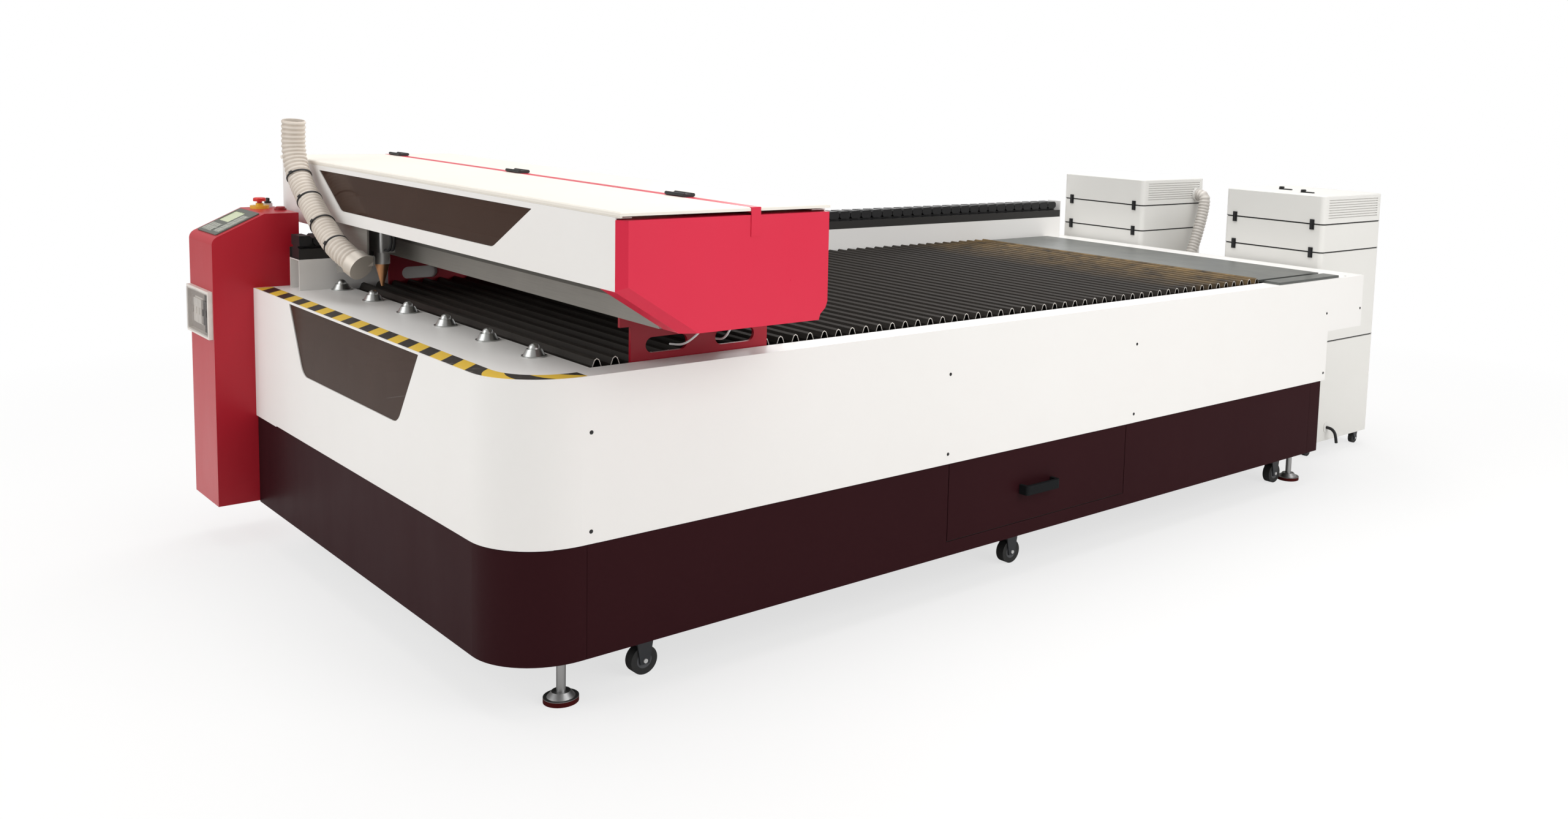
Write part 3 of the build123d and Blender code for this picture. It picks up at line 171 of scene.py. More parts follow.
def row(axis, value):
    """A millimetre place on one axis of the bed's corner frame, in metres of the model's frame."""
    return (value - {"X": MID_X, "Y": MID_Y, "Z": 0.0}[axis]) / 1000


def aim_camera():
    """The photograph's eye point, turn and frame."""
    yaw, pitch, roll = radians(YAW), radians(PITCH), radians(ROLL)
    ahead = Vector((sin(yaw) * cos(pitch), cos(yaw) * cos(pitch), sin(pitch)))
    level = Vector((cos(yaw), -sin(yaw), 0))
    upright = level.cross(ahead)
    right = cos(roll) * level + sin(roll) * upright
    up = cos(roll) * upright - sin(roll) * level
    lens = bpy.data.cameras.new("photo_camera")
    lens.sensor_width = SENSOR
    lens.lens = FOCAL_PX / IMAGE_W * SENSOR
    lens.shift_x = -CENTRE_PX[0] / IMAGE_W
    lens.shift_y = CENTRE_PX[1] / IMAGE_W
    lens.clip_end = 100
    camera = bpy.data.objects.new("photo_camera", lens)
    camera.matrix_world = Matrix.Translation(at(*EYE)) @ Matrix((right, up, -ahead)).transposed().to_4x4()
    bpy.context.scene.collection.objects.link(camera)
    bpy.context.scene.camera = camera


aim_camera()


# Shader maths written as Python sums

class Signal:
    """One socket of a finish. Sums and products with it add Math nodes."""

    def __init__(self, finish, socket):
        self.finish = finish
        self.socket = socket

    def maths(self, operation, *values):
        inputs = dict(enumerate(values))
        return self.finish.node("ShaderNodeMath", {"operation": operation}, inputs)

    def __add__(self, other):
        return self.maths("ADD", self, other)

    def __radd__(self, other):
        return self.maths("ADD", other, self)

    def __sub__(self, other):
        return self.maths("SUBTRACT", self, other)

    def __rsub__(self, other):
        return self.maths("SUBTRACT", other, self)

    def __mul__(self, other):
        return self.maths("MULTIPLY", self, other)

    def __rmul__(self, other):
        return self.maths("MULTIPLY", other, self)

    def __truediv__(self, other):
        return self.maths("DIVIDE", self, other)

    def __gt__(self, other):
        return self.maths("GREATER_THAN", self, other)

    def __lt__(self, other):
        return self.maths("LESS_THAN", self, other)

    def fraction(self):
        return self.maths("FRACT", self)

    def absolute(self):
        return self.maths("ABSOLUTE", self)

    def power(self, value):
        return self.maths("POWER", self, value)

    def clamped(self, low, high):
        return self.maths("MINIMUM", self.maths("MAXIMUM", self, low), high)


class Finish:
    """A procedural material: its shader, and the patterns that feed it."""

    def __init__(self, name, **fixed):
        self.material = bpy.data.materials.new(name)
        self.material.use_nodes = True
        self.tree = self.material.node_tree
        self.tree.nodes.clear()
        self.shader = self.tree.nodes.new("ShaderNodeBsdfPrincipled")
        output = self.tree.nodes.new("ShaderNodeOutputMaterial")
        self.tree.links.new(self.shader.outputs[0], output.inputs[0])
        self.place = self.node("ShaderNodeTexCoord", out="Object")
        self.feed(**fixed)

    def node(self, kind, settings=None, inputs=None, out=0):
        made = self.tree.nodes.new(kind)
        for name, value in (settings or {}).items():
            setattr(made, name, value)
        for key, value in (inputs or {}).items():
            self.join(made.inputs[key], value)
        return Signal(self, made.outputs[out])

    def join(self, socket, value):
        if isinstance(value, Signal):
            self.tree.links.new(value.socket, socket)
        else:
            socket.default_value = value

    def feed(self, **values):
        """Joins values to the shader's sockets, named with underscores."""
        for name, value in values.items():
            if name.endswith("Color") and isinstance(value, tuple):
                value = (*value, 1)
            self.join(self.shader.inputs[name.replace("_", " ")], value)
        return self

    def stretched(self, scale):
        return self.node("ShaderNodeVectorMath", {"operation": "MULTIPLY"}, {0: self.place, 1: scale})

    def noise(self, scale, detail=2.0, rough=0.5, place=None):
        inputs = {"Vector": place or self.place, "Scale": scale, "Detail": detail, "Roughness": rough}
        return self.node("ShaderNodeTexNoise", None, inputs)

    def cells(self, scale):
        return self.node("ShaderNodeTexVoronoi", None, {"Vector": self.place, "Scale": scale})

    def axis(self, name, place=None):
        return self.node("ShaderNodeSeparateXYZ", None, {0: place or self.place}, out=name)

    def blend(self, factor, low, high):
        """A colour between two, as the factor goes from 0 to 1."""
        colours = [(*c, 1) if isinstance(c, tuple) else c for c in (low, high)]
        inputs = {0: factor, 6: colours[0], 7: colours[1]}
        return self.node("ShaderNodeMix", {"data_type": "RGBA"}, inputs, out=2)

    def skin(self, colour, rough):
        """Colour and roughness that later patches may cover."""
        self.colour, self.rough = colour, rough
        return self.feed(Base_Color=colour, Roughness=rough)

    def repaint(self, mask, colour, rough):
        """Another colour and roughness where the mask is 1."""
        return self.skin(self.blend(mask, self.colour, colour), self.rough + (rough - self.rough) * mask)

    def within(self, axis, low, high):
        """1 between two heights or places on an axis, in metres."""
        return (axis > low) * (axis < high)

    def relief(self, height, depth, strength=1.0):
        """Feeds the shader's Normal from a height pattern."""
        bump = self.node("ShaderNodeBump", None, {"Strength": strength, "Distance": depth, "Height": height})
        return self.feed(Normal=bump)


SKIRT_RED = (0.030, 0.0075, 0.0095)
SKIRT_SHADE = (0.022, 0.0058, 0.0075)


def powder_coat(name, colour, shade, rough=0.38, grain=900.0, depth=0.00006, dust=0.10, gloss=0.4):
    """Baked powder coat: orange peel, faint clouding, wiping marks, and dust low down."""
    coat = Finish(name, Metallic=0.0, IOR=1.5, Specular_IOR_Level=gloss)
    clouds = coat.noise(1.6, 3.0)
    wiped = coat.noise(7.0, 5.0, 0.6, coat.stretched((1.0, 1.0, 0.25)))
    low = (1 - coat.axis("Z") * 2.2).clamped(0.0, 1.0)
    soil = low * coat.noise(14.0, 6.0, 0.65) * dust
    colours = coat.blend(clouds * 0.8 + wiped * 0.2, colour, shade)
    dull = (rough + wiped * 0.16 - 0.08 + soil * 0.8).clamped(0.05, 1.0)
    coat.skin(coat.blend(soil, colours, (0.32, 0.29, 0.26)), dull)
    peel = coat.noise(grain, 1.0) * 0.7 + coat.noise(grain * 0.22, 2.0) * 0.3
    return coat.relief(peel, depth, 0.5)


def textured_coat(name, colour, shade):
    """Fine-texture coat of the cabinets, with painted shadow in the gaps of their seams."""
    coat = Finish(name, Metallic=0.0, Specular_IOR_Level=0.35)
    clouds = coat.noise(1.9, 3.0)
    grains = coat.cells(1400.0)
    dull = (0.46 + coat.noise(9.0, 4.0) * 0.18).clamped(0.0, 1.0)
    coat.skin(coat.blend(clouds * 0.7 + grains * 0.25, colour, shade), dull)
    height = coat.axis("Z")
    # A near-black band at each seam is painted shadow standing in for the seam's gap
    for seam in CABINET_SEAMS:
        seam_shadow = coat.within(height, (seam - 1.0) / 1000, (seam + 5.0) / 1000)
        coat.repaint(seam_shadow, (0.012, 0.012, 0.012), 0.7)
    return coat.relief(grains, 0.00012, 0.6)


def oiled_steel(name, colour):
    """Slat steel: mill streaks, spatter, a straw tint towards the cabinets, bare sawn ends."""
    steel = Finish(name, Metallic=0.5, Specular_IOR_Level=0.3)
    mill = steel.noise(60.0, 4.0, 0.6, steel.stretched((1.0, 0.06, 1.0)))
    spatter = steel.cells(260.0) < 0.22
    stain = steel.noise(9.0, 5.0, 0.6)
    straw = ((steel.axis("X") - 0.55) * 1.6).clamped(0.0, 1.0) * (stain * 2.2 - 0.6).clamped(0.0, 1.0) * 0.8
    tinted = steel.blend(straw, steel.blend(mill, colour, tuple(c * 2.0 for c in colour)), (0.30, 0.19, 0.07))
    speckled = steel.blend(spatter * stain * 0.6, tinted, (0.16, 0.13, 0.11))
    steel.skin(speckled, (0.38 + mill * 0.25 + spatter * 0.2).clamped(0.0, 1.0))
    steel.repaint(steel.axis("Y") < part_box("slats")[0][1] + SLAT_END, (0.62, 0.59, 0.55), 0.35)
    return steel.relief(spatter * 0.5 + mill * 0.4, 0.0003, 0.5)


def brushed(name, colour, streak, rough=0.32, metallic=1.0):
    """Sheet or ground bar with its grain along one axis."""
    sheet = Finish(name, Metallic=metallic)
    grain = sheet.noise(320.0, 4.0, 0.6, sheet.stretched(streak))
    smudge = sheet.noise(6.0, 4.0, 0.6)
    colours = sheet.blend(grain * 0.6 + smudge * 0.4, colour, tuple(c * 0.74 for c in colour))
    sheet.skin(colours, (rough + grain * 0.14 + smudge * 0.12).clamped(0.0, 1.0))
    return sheet.relief(grain, 0.00005, 0.4)


def moulded(name, colour, rough=0.45, grain=1100.0, depth=0.00008, gloss=0.4):
    """Moulded plastic or rubber with a fine spark grain and handling marks."""
    part = Finish(name, Metallic=0.0, Specular_IOR_Level=gloss)
    grains = part.noise(grain, 2.0)
    marks = part.noise(26.0, 5.0, 0.6)
    colours = part.blend(marks, colour, tuple(min(1.0, c * 1.35 + 0.006) for c in colour))
    part.skin(colours, (rough + marks * 0.18 - 0.09).clamped(0.05, 1.0))
    return part.relief(grains, depth, 0.5)


def smoked_pane(name, colour, clear, gloss=0.25):
    """Tinted acrylic, a little dusty, that shows what is behind it."""
    pane = Finish(name, Metallic=0.0, IOR=1.49, Specular_IOR_Level=gloss)
    haze = pane.noise(5.0, 5.0, 0.6)
    wipe = pane.noise(28.0, 4.0, 0.6, pane.stretched((1.0, 1.0, 0.2)))
    dusty = tuple(c * 1.35 for c in colour)
    pane.skin(pane.blend(haze, colour, dusty), (0.07 + wipe * 0.10).clamped(0.0, 1.0))
    return pane.feed(Alpha=(clear + haze * 0.08).clamped(0.0, 1.0))


def ribbed_skin(name, colour, dark, clear):
    """Milky hose skin with painted shade between its ribs, and sooty in places."""
    skin = Finish(name, Metallic=0.0, Specular_IOR_Level=0.4)
    spot = skin.node("ShaderNodeUVMap", {"uv_map": "along"})
    ring = (skin.axis("X", spot) * (1000.0 / RIB_PITCH)).fraction()
    valley = 1 - ((ring - 0.5).absolute() * 2.0).power(1.5)
    dirt = skin.noise(18.0, 5.0, 0.65)
    # Darker between the ribs is painted shade in the rib valleys; the noise part adds dirt
    rib_shade_and_dirt = (valley * 0.55 + dirt * 0.45 - 0.1).clamped(0.0, 1.0)
    skin.skin(skin.blend(rib_shade_and_dirt, colour, dark), (0.30 + dirt * 0.25).clamped(0.0, 1.0))
    skin.feed(Alpha=(clear + valley * 0.08).clamped(0.0, 1.0))
    return skin.relief(skin.noise(240.0, 2.0), 0.0002, 0.3)


def hazard_stripes(name):
    """Yellow and near-black slanting bands that follow the tape's own length."""
    tape = Finish(name, Metallic=0.0)
    spot = tape.node("ShaderNodeUVMap", {"uv_map": "along"})
    turn = ((tape.axis("X", spot) + tape.axis("Y", spot)) / TAPE_STRIPE).fraction()
    scuff = tape.noise(40.0, 6.0, 0.7)
    bands = tape.blend(turn > 0.5, (0.68, 0.44, 0.035), (0.016, 0.011, 0.008))
    worn = (scuff - 0.56).clamped(0.0, 1.0) * 1.6
    tape.skin(tape.blend(worn, bands, (0.50, 0.45, 0.38)), (0.34 + scuff * 0.3).clamped(0.0, 1.0))
    return tape.relief(scuff, 0.00008, 0.4)


def skirt_coat(name):
    """Dark plum coat of the skirt and the drawer."""
    return powder_coat(name, SKIRT_RED, SKIRT_SHADE, rough=0.42, dust=0.0, gloss=0.03)


def drawer_finish():
    """Skirt coat with a black moulded bow handle in front of it."""
    coat = skirt_coat("drawer_coat")
    return coat.repaint(coat.axis("Y") < row("Y", 3.0), (0.011, 0.012, 0.013), 0.5)


def arm_finish():
    """Bent plate with the milky hose collar in front of it."""
    plate = brushed("arm_plate", (0.36, 0.345, 0.32), STREAK_Y, 0.42, 0.5)
    return plate.repaint(plate.axis("X") < row("X", ARM_PLATE_X), (0.58, 0.53, 0.47), 0.5)


def foot_finish():
    """Plated stem and disc on a dark red rubber pad."""
    foot = brushed("foot_plated", (0.46, 0.46, 0.46), STREAK_Z, 0.30)
    return foot.repaint(foot.axis("Z") < 0.013, (0.10, 0.014, 0.014), 0.7)


def wheel_finish(node):
    """Hard rubber tread round a pale hub with a bright axle end."""
    low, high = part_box(node)
    tyre = moulded(node + "_tyre", (0.016, 0.016, 0.016), 0.6)
    middle = [(low[i] + high[i]) / 2 for i in range(3)]
    flat = [tyre.axis("X") - middle[0], tyre.axis("Z") - middle[2]]
    reach = (flat[0] * flat[0] + flat[1] * flat[1]).power(0.5)
    radius = (high[2] - low[2]) / 2
    tyre.repaint(reach < radius * 0.56, (0.085, 0.088, 0.095), 0.45)
    return tyre.repaint(reach < radius * 0.2, (0.62, 0.62, 0.62), 0.3)


def control_finish():
    """Dark membrane panel with a pale display and grey keys, on the pedestal's slope."""
    skin = moulded("control_membrane", (0.070, 0.076, 0.064), 0.34)
    low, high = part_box("control_panel")
    middle = [(low[i] + high[i]) / 2 for i in range(3)]
    run, rise = high[0] - low[0], high[2] - low[2]
    slope = (run * run + rise * rise) ** 0.5
    across = skin.axis("Y") * -1000.0 + middle[1] * 1000.0
    level_part = (skin.axis("X") - middle[0]) * (run / slope * 1000.0)
    upright_part = (skin.axis("Z") - middle[2]) * (rise / slope * 1000.0)
    up = level_part + upright_part
    for (u, v), (w, h) in KEY_BLOCKS:
        keys = skin.within(across, u - w / 2, u + w / 2) * skin.within(up, v - h / 2, v + h / 2)
        gaps = skin.within((across * 0.1).fraction(), 0.12, 1.0)
        skin.repaint(keys * gaps, (0.34, 0.35, 0.31), 0.4)
    u, v = DISPLAY_AT
    w, h = DISPLAY_SIZE
    window = skin.within(across, u - w / 2, u + w / 2) * skin.within(up, v - h / 2, v + h / 2)
    return skin.repaint(window, (0.55, 0.60, 0.40), 0.2)


def base_finish():
    """Yellow under the emergency stop, plated at the key, red at the button."""
    ring = moulded("switch_rings", (0.60, 0.60, 0.60), 0.25)

    def near(place, reach):
        dx = ring.axis("X") - row("X", place[0])
        dy = ring.axis("Y") - row("Y", place[1])
        return (dx * dx + dy * dy).power(0.5) < reach

    ring.repaint(near(ESTOP_XY, 0.0305), (0.74, 0.44, 0.04), 0.34)
    return ring.repaint(near(BUTTON_XY, 0.021), (0.26, 0.012, 0.016), 0.4)


def breaker_finish():
    """Ivory frame; a dark breaker strip and a pale blank card behind the door."""
    body = moulded("breaker_body", (0.62, 0.58, 0.54), 0.36)
    side, height = body.axis("Y"), body.axis("Z")
    inside = body.within(side, row("Y", 1870), row("Y", 2086)) * body.within(height, 0.721, 0.853)
    body.repaint(inside, (0.42, 0.38, 0.35), 0.5)
    strip = body.within(side, row("Y", BREAKER_STRIP_Y[0]), row("Y", BREAKER_STRIP_Y[1]))
    body.repaint(inside * strip, (0.035, 0.033, 0.036), 0.4)
    card = body.within(side, row("Y", BREAKER_CARD_Y[0]), row("Y", BREAKER_CARD_Y[1]))
    tall = body.within(height, BREAKER_CARD_Z[0] / 1000, BREAKER_CARD_Z[1] / 1000)
    return body.repaint(card * tall, (0.86, 0.82, 0.77), 0.5)


STREAK_X = (0.02, 1.0, 1.0)
STREAK_Y = (1.0, 0.02, 1.0)
STREAK_Z = (1.0, 1.0, 0.02)

FINISHES = {
    "white_panel": powder_coat("white_panel", (0.80, 0.79, 0.775), (0.765, 0.75, 0.73)),
    "cream_cover": powder_coat("cream_cover", (0.81, 0.775, 0.71), (0.78, 0.74, 0.67), dust=0.0),
    "dark_skirt": skirt_coat("dark_skirt"),
    "red_shell": powder_coat(
        "red_shell", (0.46, 0.014, 0.028), (0.40, 0.011, 0.023), rough=0.30, dust=0.05, gloss=0.3
    ),
    # Painted light: a brighter, pinker copy of the red_shell paint for the near caps and the centre strip, as
    # if strongly lit
    "cap_red_painted_light": powder_coat(
        "cap_red_painted_light", (0.68, 0.022, 0.062), (0.62, 0.018, 0.052), rough=0.30, dust=0.0, gloss=0.3
    ),
    # Painted shade: a darker copy of the red_shell paint for the gantry brackets
    "bracket_red_painted_shade": powder_coat(
        "bracket_red_painted_shade", (0.36, 0.007, 0.022), (0.30, 0.006, 0.018), rough=0.34, dust=0.0, gloss=0.3
    ),
    "black_frame": powder_coat(
        "black_frame", (0.030, 0.028, 0.027), (0.022, 0.021, 0.020), rough=0.5, dust=0.2, gloss=0.3
    ),
    "slat_steel": oiled_steel("slat_steel", (0.016, 0.0135, 0.0115)),
    "grey_sheet": brushed("grey_sheet", (0.36, 0.345, 0.32), STREAK_Y, 0.42, 0.6),
    "rear_sheet": brushed("rear_sheet", (0.17, 0.18, 0.172), STREAK_Y, 0.24, 0.75),
    "zinc": brushed("zinc", (0.56, 0.57, 0.56), STREAK_Z, 0.20),
    "smoked": smoked_pane("smoked", (0.048, 0.027, 0.020), 0.79, 0.05),
    "door_clear": smoked_pane("door_clear", (0.16, 0.14, 0.13), 0.14, 0.5),
    "rail_steel": brushed("rail_steel", (0.58, 0.58, 0.57), STREAK_X, 0.25),
    "black_plastic": moulded("black_plastic", (0.011, 0.011, 0.012), gloss=0.3),
    "foot_steel": foot_finish(),
    "fork_black": moulded("fork_black", (0.022, 0.024, 0.028), 0.40),
    "panel_grey": control_finish(),
    "yellow_plastic": base_finish(),
    "red_plastic": moulded("red_plastic", (0.50, 0.014, 0.012), 0.26),
    "button_red": moulded("button_red", (0.26, 0.012, 0.016), 0.32),
    "cabinet_white": textured_coat("cabinet_white", (0.74, 0.735, 0.71), (0.70, 0.69, 0.66)),
    "head_silver": brushed("head_silver", (0.60, 0.60, 0.60), STREAK_Z, 0.30),
    "copper": brushed("copper", (0.70, 0.36, 0.18), STREAK_Z, 0.24),
    "ivory_plastic": breaker_finish(),
    "hose_clear": ribbed_skin("hose_clear", (0.76, 0.70, 0.63), (0.36, 0.29, 0.23), 0.90),
    "duct_grey": ribbed_skin("duct_grey", (0.72, 0.69, 0.65), (0.34, 0.31, 0.28), 1.0),
    "tape": hazard_stripes("tape"),
    "drawer_coat": drawer_finish(),
    "arm_plate": arm_finish(),
    "air_white": moulded("air_white", (0.72, 0.72, 0.72), 0.3),
    "screw_steel": brushed("screw_steel", (0.50, 0.49, 0.47), STREAK_X, 0.3),
}

OWN_FINISHES = {
    # Painted light and shade: the caps and the centre strip take a lit copy of the red paint, the brackets a
    # shaded copy
    "near_cap": "cap_red_painted_light",
    "far_cap": "cap_red_painted_light",
    "centre_strip": "cap_red_painted_light",
    "gantry_brackets": "bracket_red_painted_shade",
    "rear_plate": "rear_sheet",
    "breaker_door": "door_clear",
    "caster_forks": "fork_black",
    "push_button": "button_red",
    "drawer": "drawer_coat",
    "hose_arm": "arm_plate",
}


def dress_nodes():
    """Each node of the model takes the finish of its own material slot, or one of its own."""
    slots = {part["node"]: part["material_slot"] for part in frame["record"]["subparts"]}
    for name, obj in frame["nodes"].items():
        if slots[name] == "wheel_rubber":
            made = wheel_finish(name)
        else:
            made = FINISHES[OWN_FINISHES.get(name, slots[name])]
        obj.data.materials.clear()
        obj.data.materials.append(made.material)


dress_nodes()


# Making pieces

def piece(name, vertices, faces, finish, body):
    """A mesh object that rides on a body."""
    mesh = bpy.data.meshes.new(name)
    mesh.from_pydata([tuple(v) for v in vertices], [], faces)
    mesh.materials.append(FINISHES[finish].material)
    obj = bpy.data.objects.new(name, mesh)
    bpy.context.scene.collection.objects.link(obj)
    return ride(obj, body)


def ride(obj, body):
    """Puts a piece on its body."""
    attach(obj, body)
    return obj


def ribbon(name, near_edge, far_edge, thick, finish, body, slot):
    """A thin band between two lines of points, with its length and width as UV."""
    count = len(near_edge)
    lift = Vector((0, 0, thick))
    vertices = near_edge + far_edge + [p + lift for p in near_edge] + [p + lift for p in far_edge]
    faces = []
    for i in range(count - 1):
        low, high = i, count + i
        faces.append((low, high, high + 1, low + 1))
        top = 2 * count
        faces.append((top + low, top + low + 1, top + high + 1, top + high))
        faces.append((low, low + 1, top + low + 1, top + low))
        faces.append((high + 1, high, top + high, top + high + 1))
    for i in (0, count - 1):
        end = (i, 2 * count + i, 3 * count + i, count + i)
        faces.append(end if i == 0 else end[::-1])
    obj = piece(name, vertices, faces, finish, body)
    length = [0.0]
    for a, b in zip(far_edge, far_edge[1:]):
        length.append(length[-1] + (b - a).length)
    width = (far_edge[0] - near_edge[0]).length
    layer = obj.data.uv_layers.new(name="along")
    for loop in obj.data.loops:
        column, station = divmod(loop.vertex_index % (2 * count), count)
        layer.data[loop.index].uv = (length[station], width * column)
    face_outwards(obj)
    return obj


def face_outwards(obj):
    """Turns every face of a closed piece outwards."""
    shape = bmesh.new()
    shape.from_mesh(obj.data)
    bmesh.ops.recalc_face_normals(shape, faces=shape.faces)
    shape.to_mesh(obj.data)
    shape.free()


def lay_tape():
    """Hazard tape from the pedestal side round the near front corner."""

    def line(inset):
        radius = CORNER_R - inset
        points = [at(inset, BED_W - 6 - step * 220.0, DECK_Z) for step in range(8)]
        for step in range(25):
            turn = pi + step / 24 * pi / 2
            points.append(at(CORNER_R + radius * cos(turn), CORNER_R + radius * sin(turn), DECK_Z))
        points.append(at(CORNER_PANEL_X, inset, DECK_Z))
        return points

    edges = (line(TAPE_INSET), line(TAPE_INSET + TAPE_W))
    ribbon("hazard_tape", *edges, TAPE_T / 1000, "tape", "bed", "yellow_plastic")


lay_tape()


# Screws set by nodes: one pan head at every point, with a thin black disc on top as painted shade for its
# recess

def screw_tree():
    """Node tree that puts a pan head on each vertex, turned to an axis."""
    tree = bpy.data.node_groups.new("screw_heads", "GeometryNodeTree")
    inout = tree.interface
    inout.new_socket("Places", in_out="INPUT", socket_type="NodeSocketGeometry")
    sockets = {"Places": None}
    kinds = {"Radius": "Float", "Height": "Float", "Axis": "Vector"}
    kinds.update({"Finish": "Material", "Shade_Disc": "Material"})
    for label, kind in kinds.items():
        made = inout.new_socket(label, in_out="INPUT", socket_type="NodeSocket" + kind)
        sockets[label] = made.identifier
    inout.new_socket("Heads", in_out="OUTPUT", socket_type="NodeSocketGeometry")

    def add(kind, links=None, **settings):
        node = tree.nodes.new(kind)
        for key, value in settings.items():
            setattr(node, key, value)
        for key, value in (links or {}).items():
            if isinstance(value, bpy.types.NodeSocket):
                tree.links.new(value, node.inputs[key])
            else:
                node.inputs[key].default_value = value
        return node

    given = add("NodeGroupInput").outputs
    collar = add("ShaderNodeMath", {0: given["Radius"], 1: 0.72}, operation="MULTIPLY")
    form = {"Vertices": 20, "Depth": given["Height"]}
    form.update({"Radius Top": collar.outputs[0], "Radius Bottom": given["Radius"]})
    head = add("GeometryNodeMeshCone", form)
    painted = {"Geometry": head.outputs["Mesh"], "Material": given["Finish"]}
    head_paint = add("GeometryNodeSetMaterial", painted)
    # The hex recess is a thin black disc on the head: painted shade, not a hole
    socket_r = add("ShaderNodeMath", {0: given["Radius"], 1: 0.40}, operation="MULTIPLY")
    hexagon = {"Vertices": 6, "Depth": 0.0002}
    hexagon.update({"Radius Top": socket_r.outputs[0], "Radius Bottom": socket_r.outputs[0]})
    recess_shade = add("GeometryNodeMeshCone", hexagon)
    lift = add("ShaderNodeCombineXYZ", {2: given["Height"]})
    lifted = {"Geometry": recess_shade.outputs["Mesh"], "Translation": lift.outputs[0]}
    raised = add("GeometryNodeTransform", lifted)
    covered = {"Geometry": raised.outputs[0], "Material": given["Shade_Disc"]}
    recess_shade_paint = add("GeometryNodeSetMaterial", covered)
    screw = add("GeometryNodeJoinGeometry")
    tree.links.new(recess_shade_paint.outputs[0], screw.inputs[0])
    tree.links.new(head_paint.outputs[0], screw.inputs[0])
    spots = add("GeometryNodeMeshToPoints", {"Mesh": given["Places"]})
    turn = add("FunctionNodeAlignRotationToVector", {"Vector": given["Axis"]}, axis="Z")
    copies = {"Points": spots.outputs[0], "Instance": screw.outputs[0], "Rotation": turn.outputs[0]}
    placed = add("GeometryNodeInstanceOnPoints", copies)
    real = add("GeometryNodeRealizeInstances", {"Geometry": placed.outputs[0]})
    add("NodeGroupOutput", {0: real.outputs[0]})
    return tree, sockets


SCREW_TREE, SCREW_SOCKETS = screw_tree()


def screws(name, places, axis, radius, height, body, finish="screw_steel"):
    """Pan heads at the places, looking along the axis, as one plain mesh."""
    points = bpy.data.meshes.new(name + "_places")
    points.from_pydata([tuple(p) for p in places], [], [])
    source = bpy.data.objects.new(name + "_places", points)
    bpy.context.scene.collection.objects.link(source)
    setter = source.modifiers.new("heads", "NODES")
    setter.node_group = SCREW_TREE
    # The second material is the black of the painted recess shade
    paint, recess_shade = FINISHES[finish].material, FINISHES["black_plastic"].material
    values = {"Radius": radius, "Height": height, "Axis": axis, "Finish": paint, "Shade_Disc": recess_shade}
    for label, value in values.items():
        setter[SCREW_SOCKETS[label]] = value
    drawn = source.evaluated_get(bpy.context.evaluated_depsgraph_get())
    mesh = bpy.data.meshes.new_from_object(drawn)
    bpy.data.objects.remove(source)
    obj = bpy.data.objects.new(name, mesh)
    bpy.context.scene.collection.objects.link(obj)
    return ride(obj, body)


def fasten_panels():
    """Screws of the two side panels and of the rear rim."""
    for name, y, outward in (("near_panel_screws", 0.0, -1), ("far_panel_screws", BED_W, 1)):
        places = [at(x, y, z) for x in CLAD_SCREW_X for z in CLAD_SCREW_Z]
        places.append(at(OVERHANG_SCREW_X, y, CLAD_SCREW_Z[1]))
        screws(name, places, (0, outward, 0), 0.0055, 0.0015, "bed", "black_plastic")
    screws("rim_screws", [at(x, RIM_SCREW_Y, DECK_Z) for x in RIM_SCREW_X], (0, 0, 1), 0.005, 0.0015, "bed")


fasten_panels()


# Hoses and cords

def smooth_line(points, steps=16):
    """Points along the smooth spline that a hose follows."""
    curve = bpy.data.curves.new("route", "CURVE")
    curve.dimensions = "3D"
    add_spline(curve, points, steps)
    obj = bpy.data.objects.new("route", curve)
    bpy.context.scene.collection.objects.link(obj)
    mesh = bpy.data.meshes.new_from_object(obj.evaluated_get(bpy.context.evaluated_depsgraph_get()))
    line = [v.co.copy() for v in mesh.vertices]
    bpy.data.objects.remove(obj)
    return line


def add_spline(curve, points, steps=16):
    spline = curve.splines.new("NURBS")
    spline.points.add(len(points) - 1)
    for held, place in zip(spline.points, points):
        held.co = (*at(*place), 1)
    spline.order_u = 3
    spline.use_endpoint_u = True
    spline.resolution_u = steps


def length_of(line):
    return sum((b - a).length for a, b in zip(line, line[1:]))


def even_steps(line, step):
    """Evenly spaced points on a line, with their distance from its start."""
    total = length_of(line)
    count = max(2, round(total / step))
    wanted = [total * i / count for i in range(count + 1)]
    result, gone, i = [], 0.0, 0
    for a, b in zip(line, line[1:]):
        reach = (b - a).length
        while i <= count and wanted[i] <= gone + reach + 1e-9:
            result.append((a.lerp(b, min(1.0, (wanted[i] - gone) / reach)), wanted[i]))
            i += 1
        gone += reach
    while len(result) <= count:
        result.append((line[-1], total))
    return result


def rings(stations):
    """A pair of cross axes at each station, carried along without twist."""
    axes = []
    side = None
    for i, (point, _) in enumerate(stations):
        ahead = stations[min(i + 1, len(stations) - 1)][0] - stations[max(i - 1, 0)][0]
        ahead.normalize()
        side = (side or ahead.orthogonal())
        side = (side - ahead * side.dot(ahead)).normalized()
        axes.append((side, ahead.cross(side)))
    return axes


